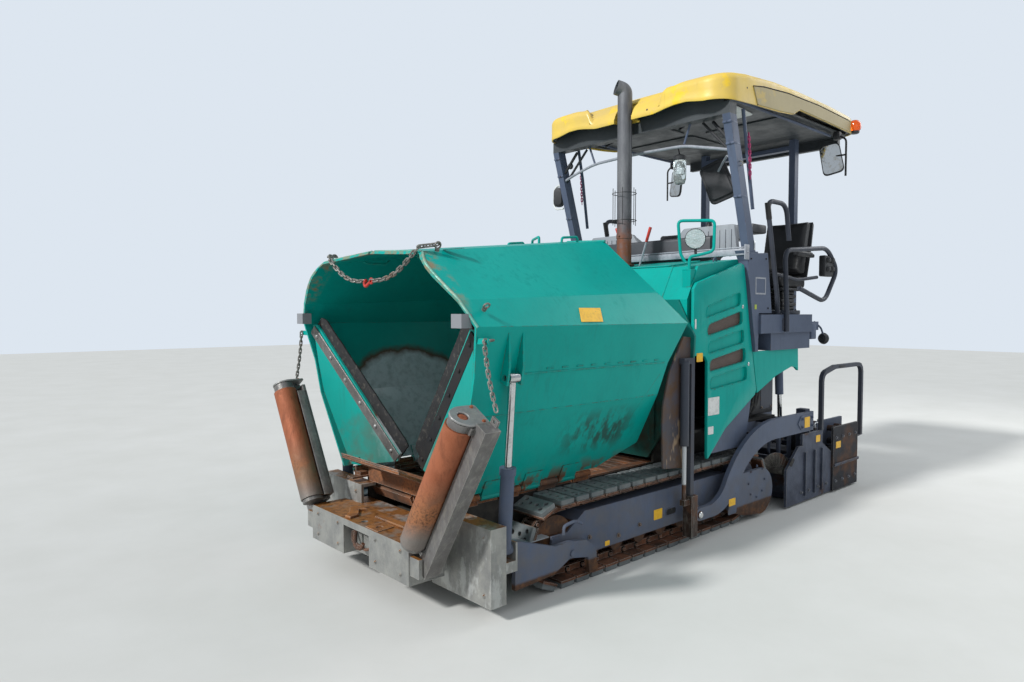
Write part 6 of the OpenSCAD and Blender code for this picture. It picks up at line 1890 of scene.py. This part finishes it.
make_tracks()
make_aprons()
make_wing_details()
make_chains()
make_carrier_webs()
make_rear_wall()
make_beam_details()
make_doors()
make_hood_details()
make_exhaust()
make_work_lights()
make_mirrors()
make_canopy()
make_under_canopy()
make_seats()
make_console()
make_rails()
make_rear_body()
make_rear_cases()
make_undercarriage_details()
make_arms_and_screed()


# Camera, light and floor

SENSOR_MM, FOCAL_MM = 36.0, 24.71
EYE = (4.575, 3.70, 1.65)
HEADING = (-0.670, -0.742)
PITCH = math.radians(2.36)
FLOOR_HALF, FLOOR_DROP = 30.0, 0.001


def set_camera():
    """Camera at the photograph's place: 4.6 m ahead, 3.7 m to the left, eye at 1.65 m."""
    lens = bpy.data.cameras.new("camera")
    lens.sensor_width = SENSOR_MM
    lens.lens = FOCAL_MM
    lens.clip_end = 200.0
    camera = bpy.data.objects.new("camera", lens)
    bpy.context.collection.objects.link(camera)
    ahead = Vector((*(part * math.cos(PITCH) for part in HEADING), -math.sin(PITCH)))
    camera.location = EYE
    camera.rotation_euler = ahead.to_track_quat("-Z", "Y").to_euler()
    bpy.context.scene.camera = camera


def set_light():
    """A pale studio: soft sun from ahead of the machine, sky fill, white surround for the camera."""
    scene = bpy.context.scene
    scene.view_settings.view_transform = "Standard"
    world = bpy.data.worlds.new("studio")
    scene.world = world
    world.use_nodes = True
    tree = world.node_tree
    back = tree.nodes["Background"]
    path = add(tree, "LightPath")
    seen = add(tree, "Math", {0: path.outputs["Is Camera Ray"], 1: path.outputs["Is Transmission Ray"]},
               operation="MAXIMUM").outputs[0]
    back.inputs["Color"].default_value = linear("#DFE8F2")
    strength = add(tree, "MapRange", {"Value": seen, "To Min": 0.60, "To Max": 0.98}).outputs[0]
    tree.links.new(strength, back.inputs["Strength"])
    for name, energy, size, place, target in (
            ("key", 3.3, 6.0, (9.0, -1.2, 7.6), (0.2, 0, 1.2)),
            ("fill", 70.0, 6.0, (4.0, 8.5, 4.5), (0.0, 0, 1.2)),
            ("back", 220.0, 5.0, (-7.0, 3.0, 6.0), (-1.0, 0, 1.5))):
        lamp = bpy.data.lights.new(name, "SUN" if name == "key" else "AREA")
        lamp.energy = energy
        if name == "key":
            lamp.angle = math.radians(size)
        else:
            lamp.size = size
        thing = bpy.data.objects.new(name, lamp)
        bpy.context.collection.objects.link(thing)
        thing.location = place
        thing.rotation_euler = (Vector(target) - Vector(place)).to_track_quat("-Z", "Y").to_euler()


def lay_floor():
    """Plain pale floor, 60 m across."""
    mesh = bmesh.new()
    bmesh.ops.create_grid(mesh, x_segments=1, y_segments=1, size=FLOOR_HALF)
    bmesh.ops.translate(mesh, verts=mesh.verts, vec=(0, 0, -FLOOR_DROP))
    data = bpy.data.meshes.new("floor")
    mesh.to_mesh(data)
    mesh.free()
    floor = bpy.data.objects.new("floor", data)
    bpy.context.collection.objects.link(floor)
    f = Finish("pale_floor", roughness=0.9)
    f.set("Base Color", coat(f.tree, f.mask(0.8, 0.3, 0.8), "#CFCFCB", "#C7C7C2"))
    data.materials.append(f.material)


set_camera()
set_light()
lay_floor()
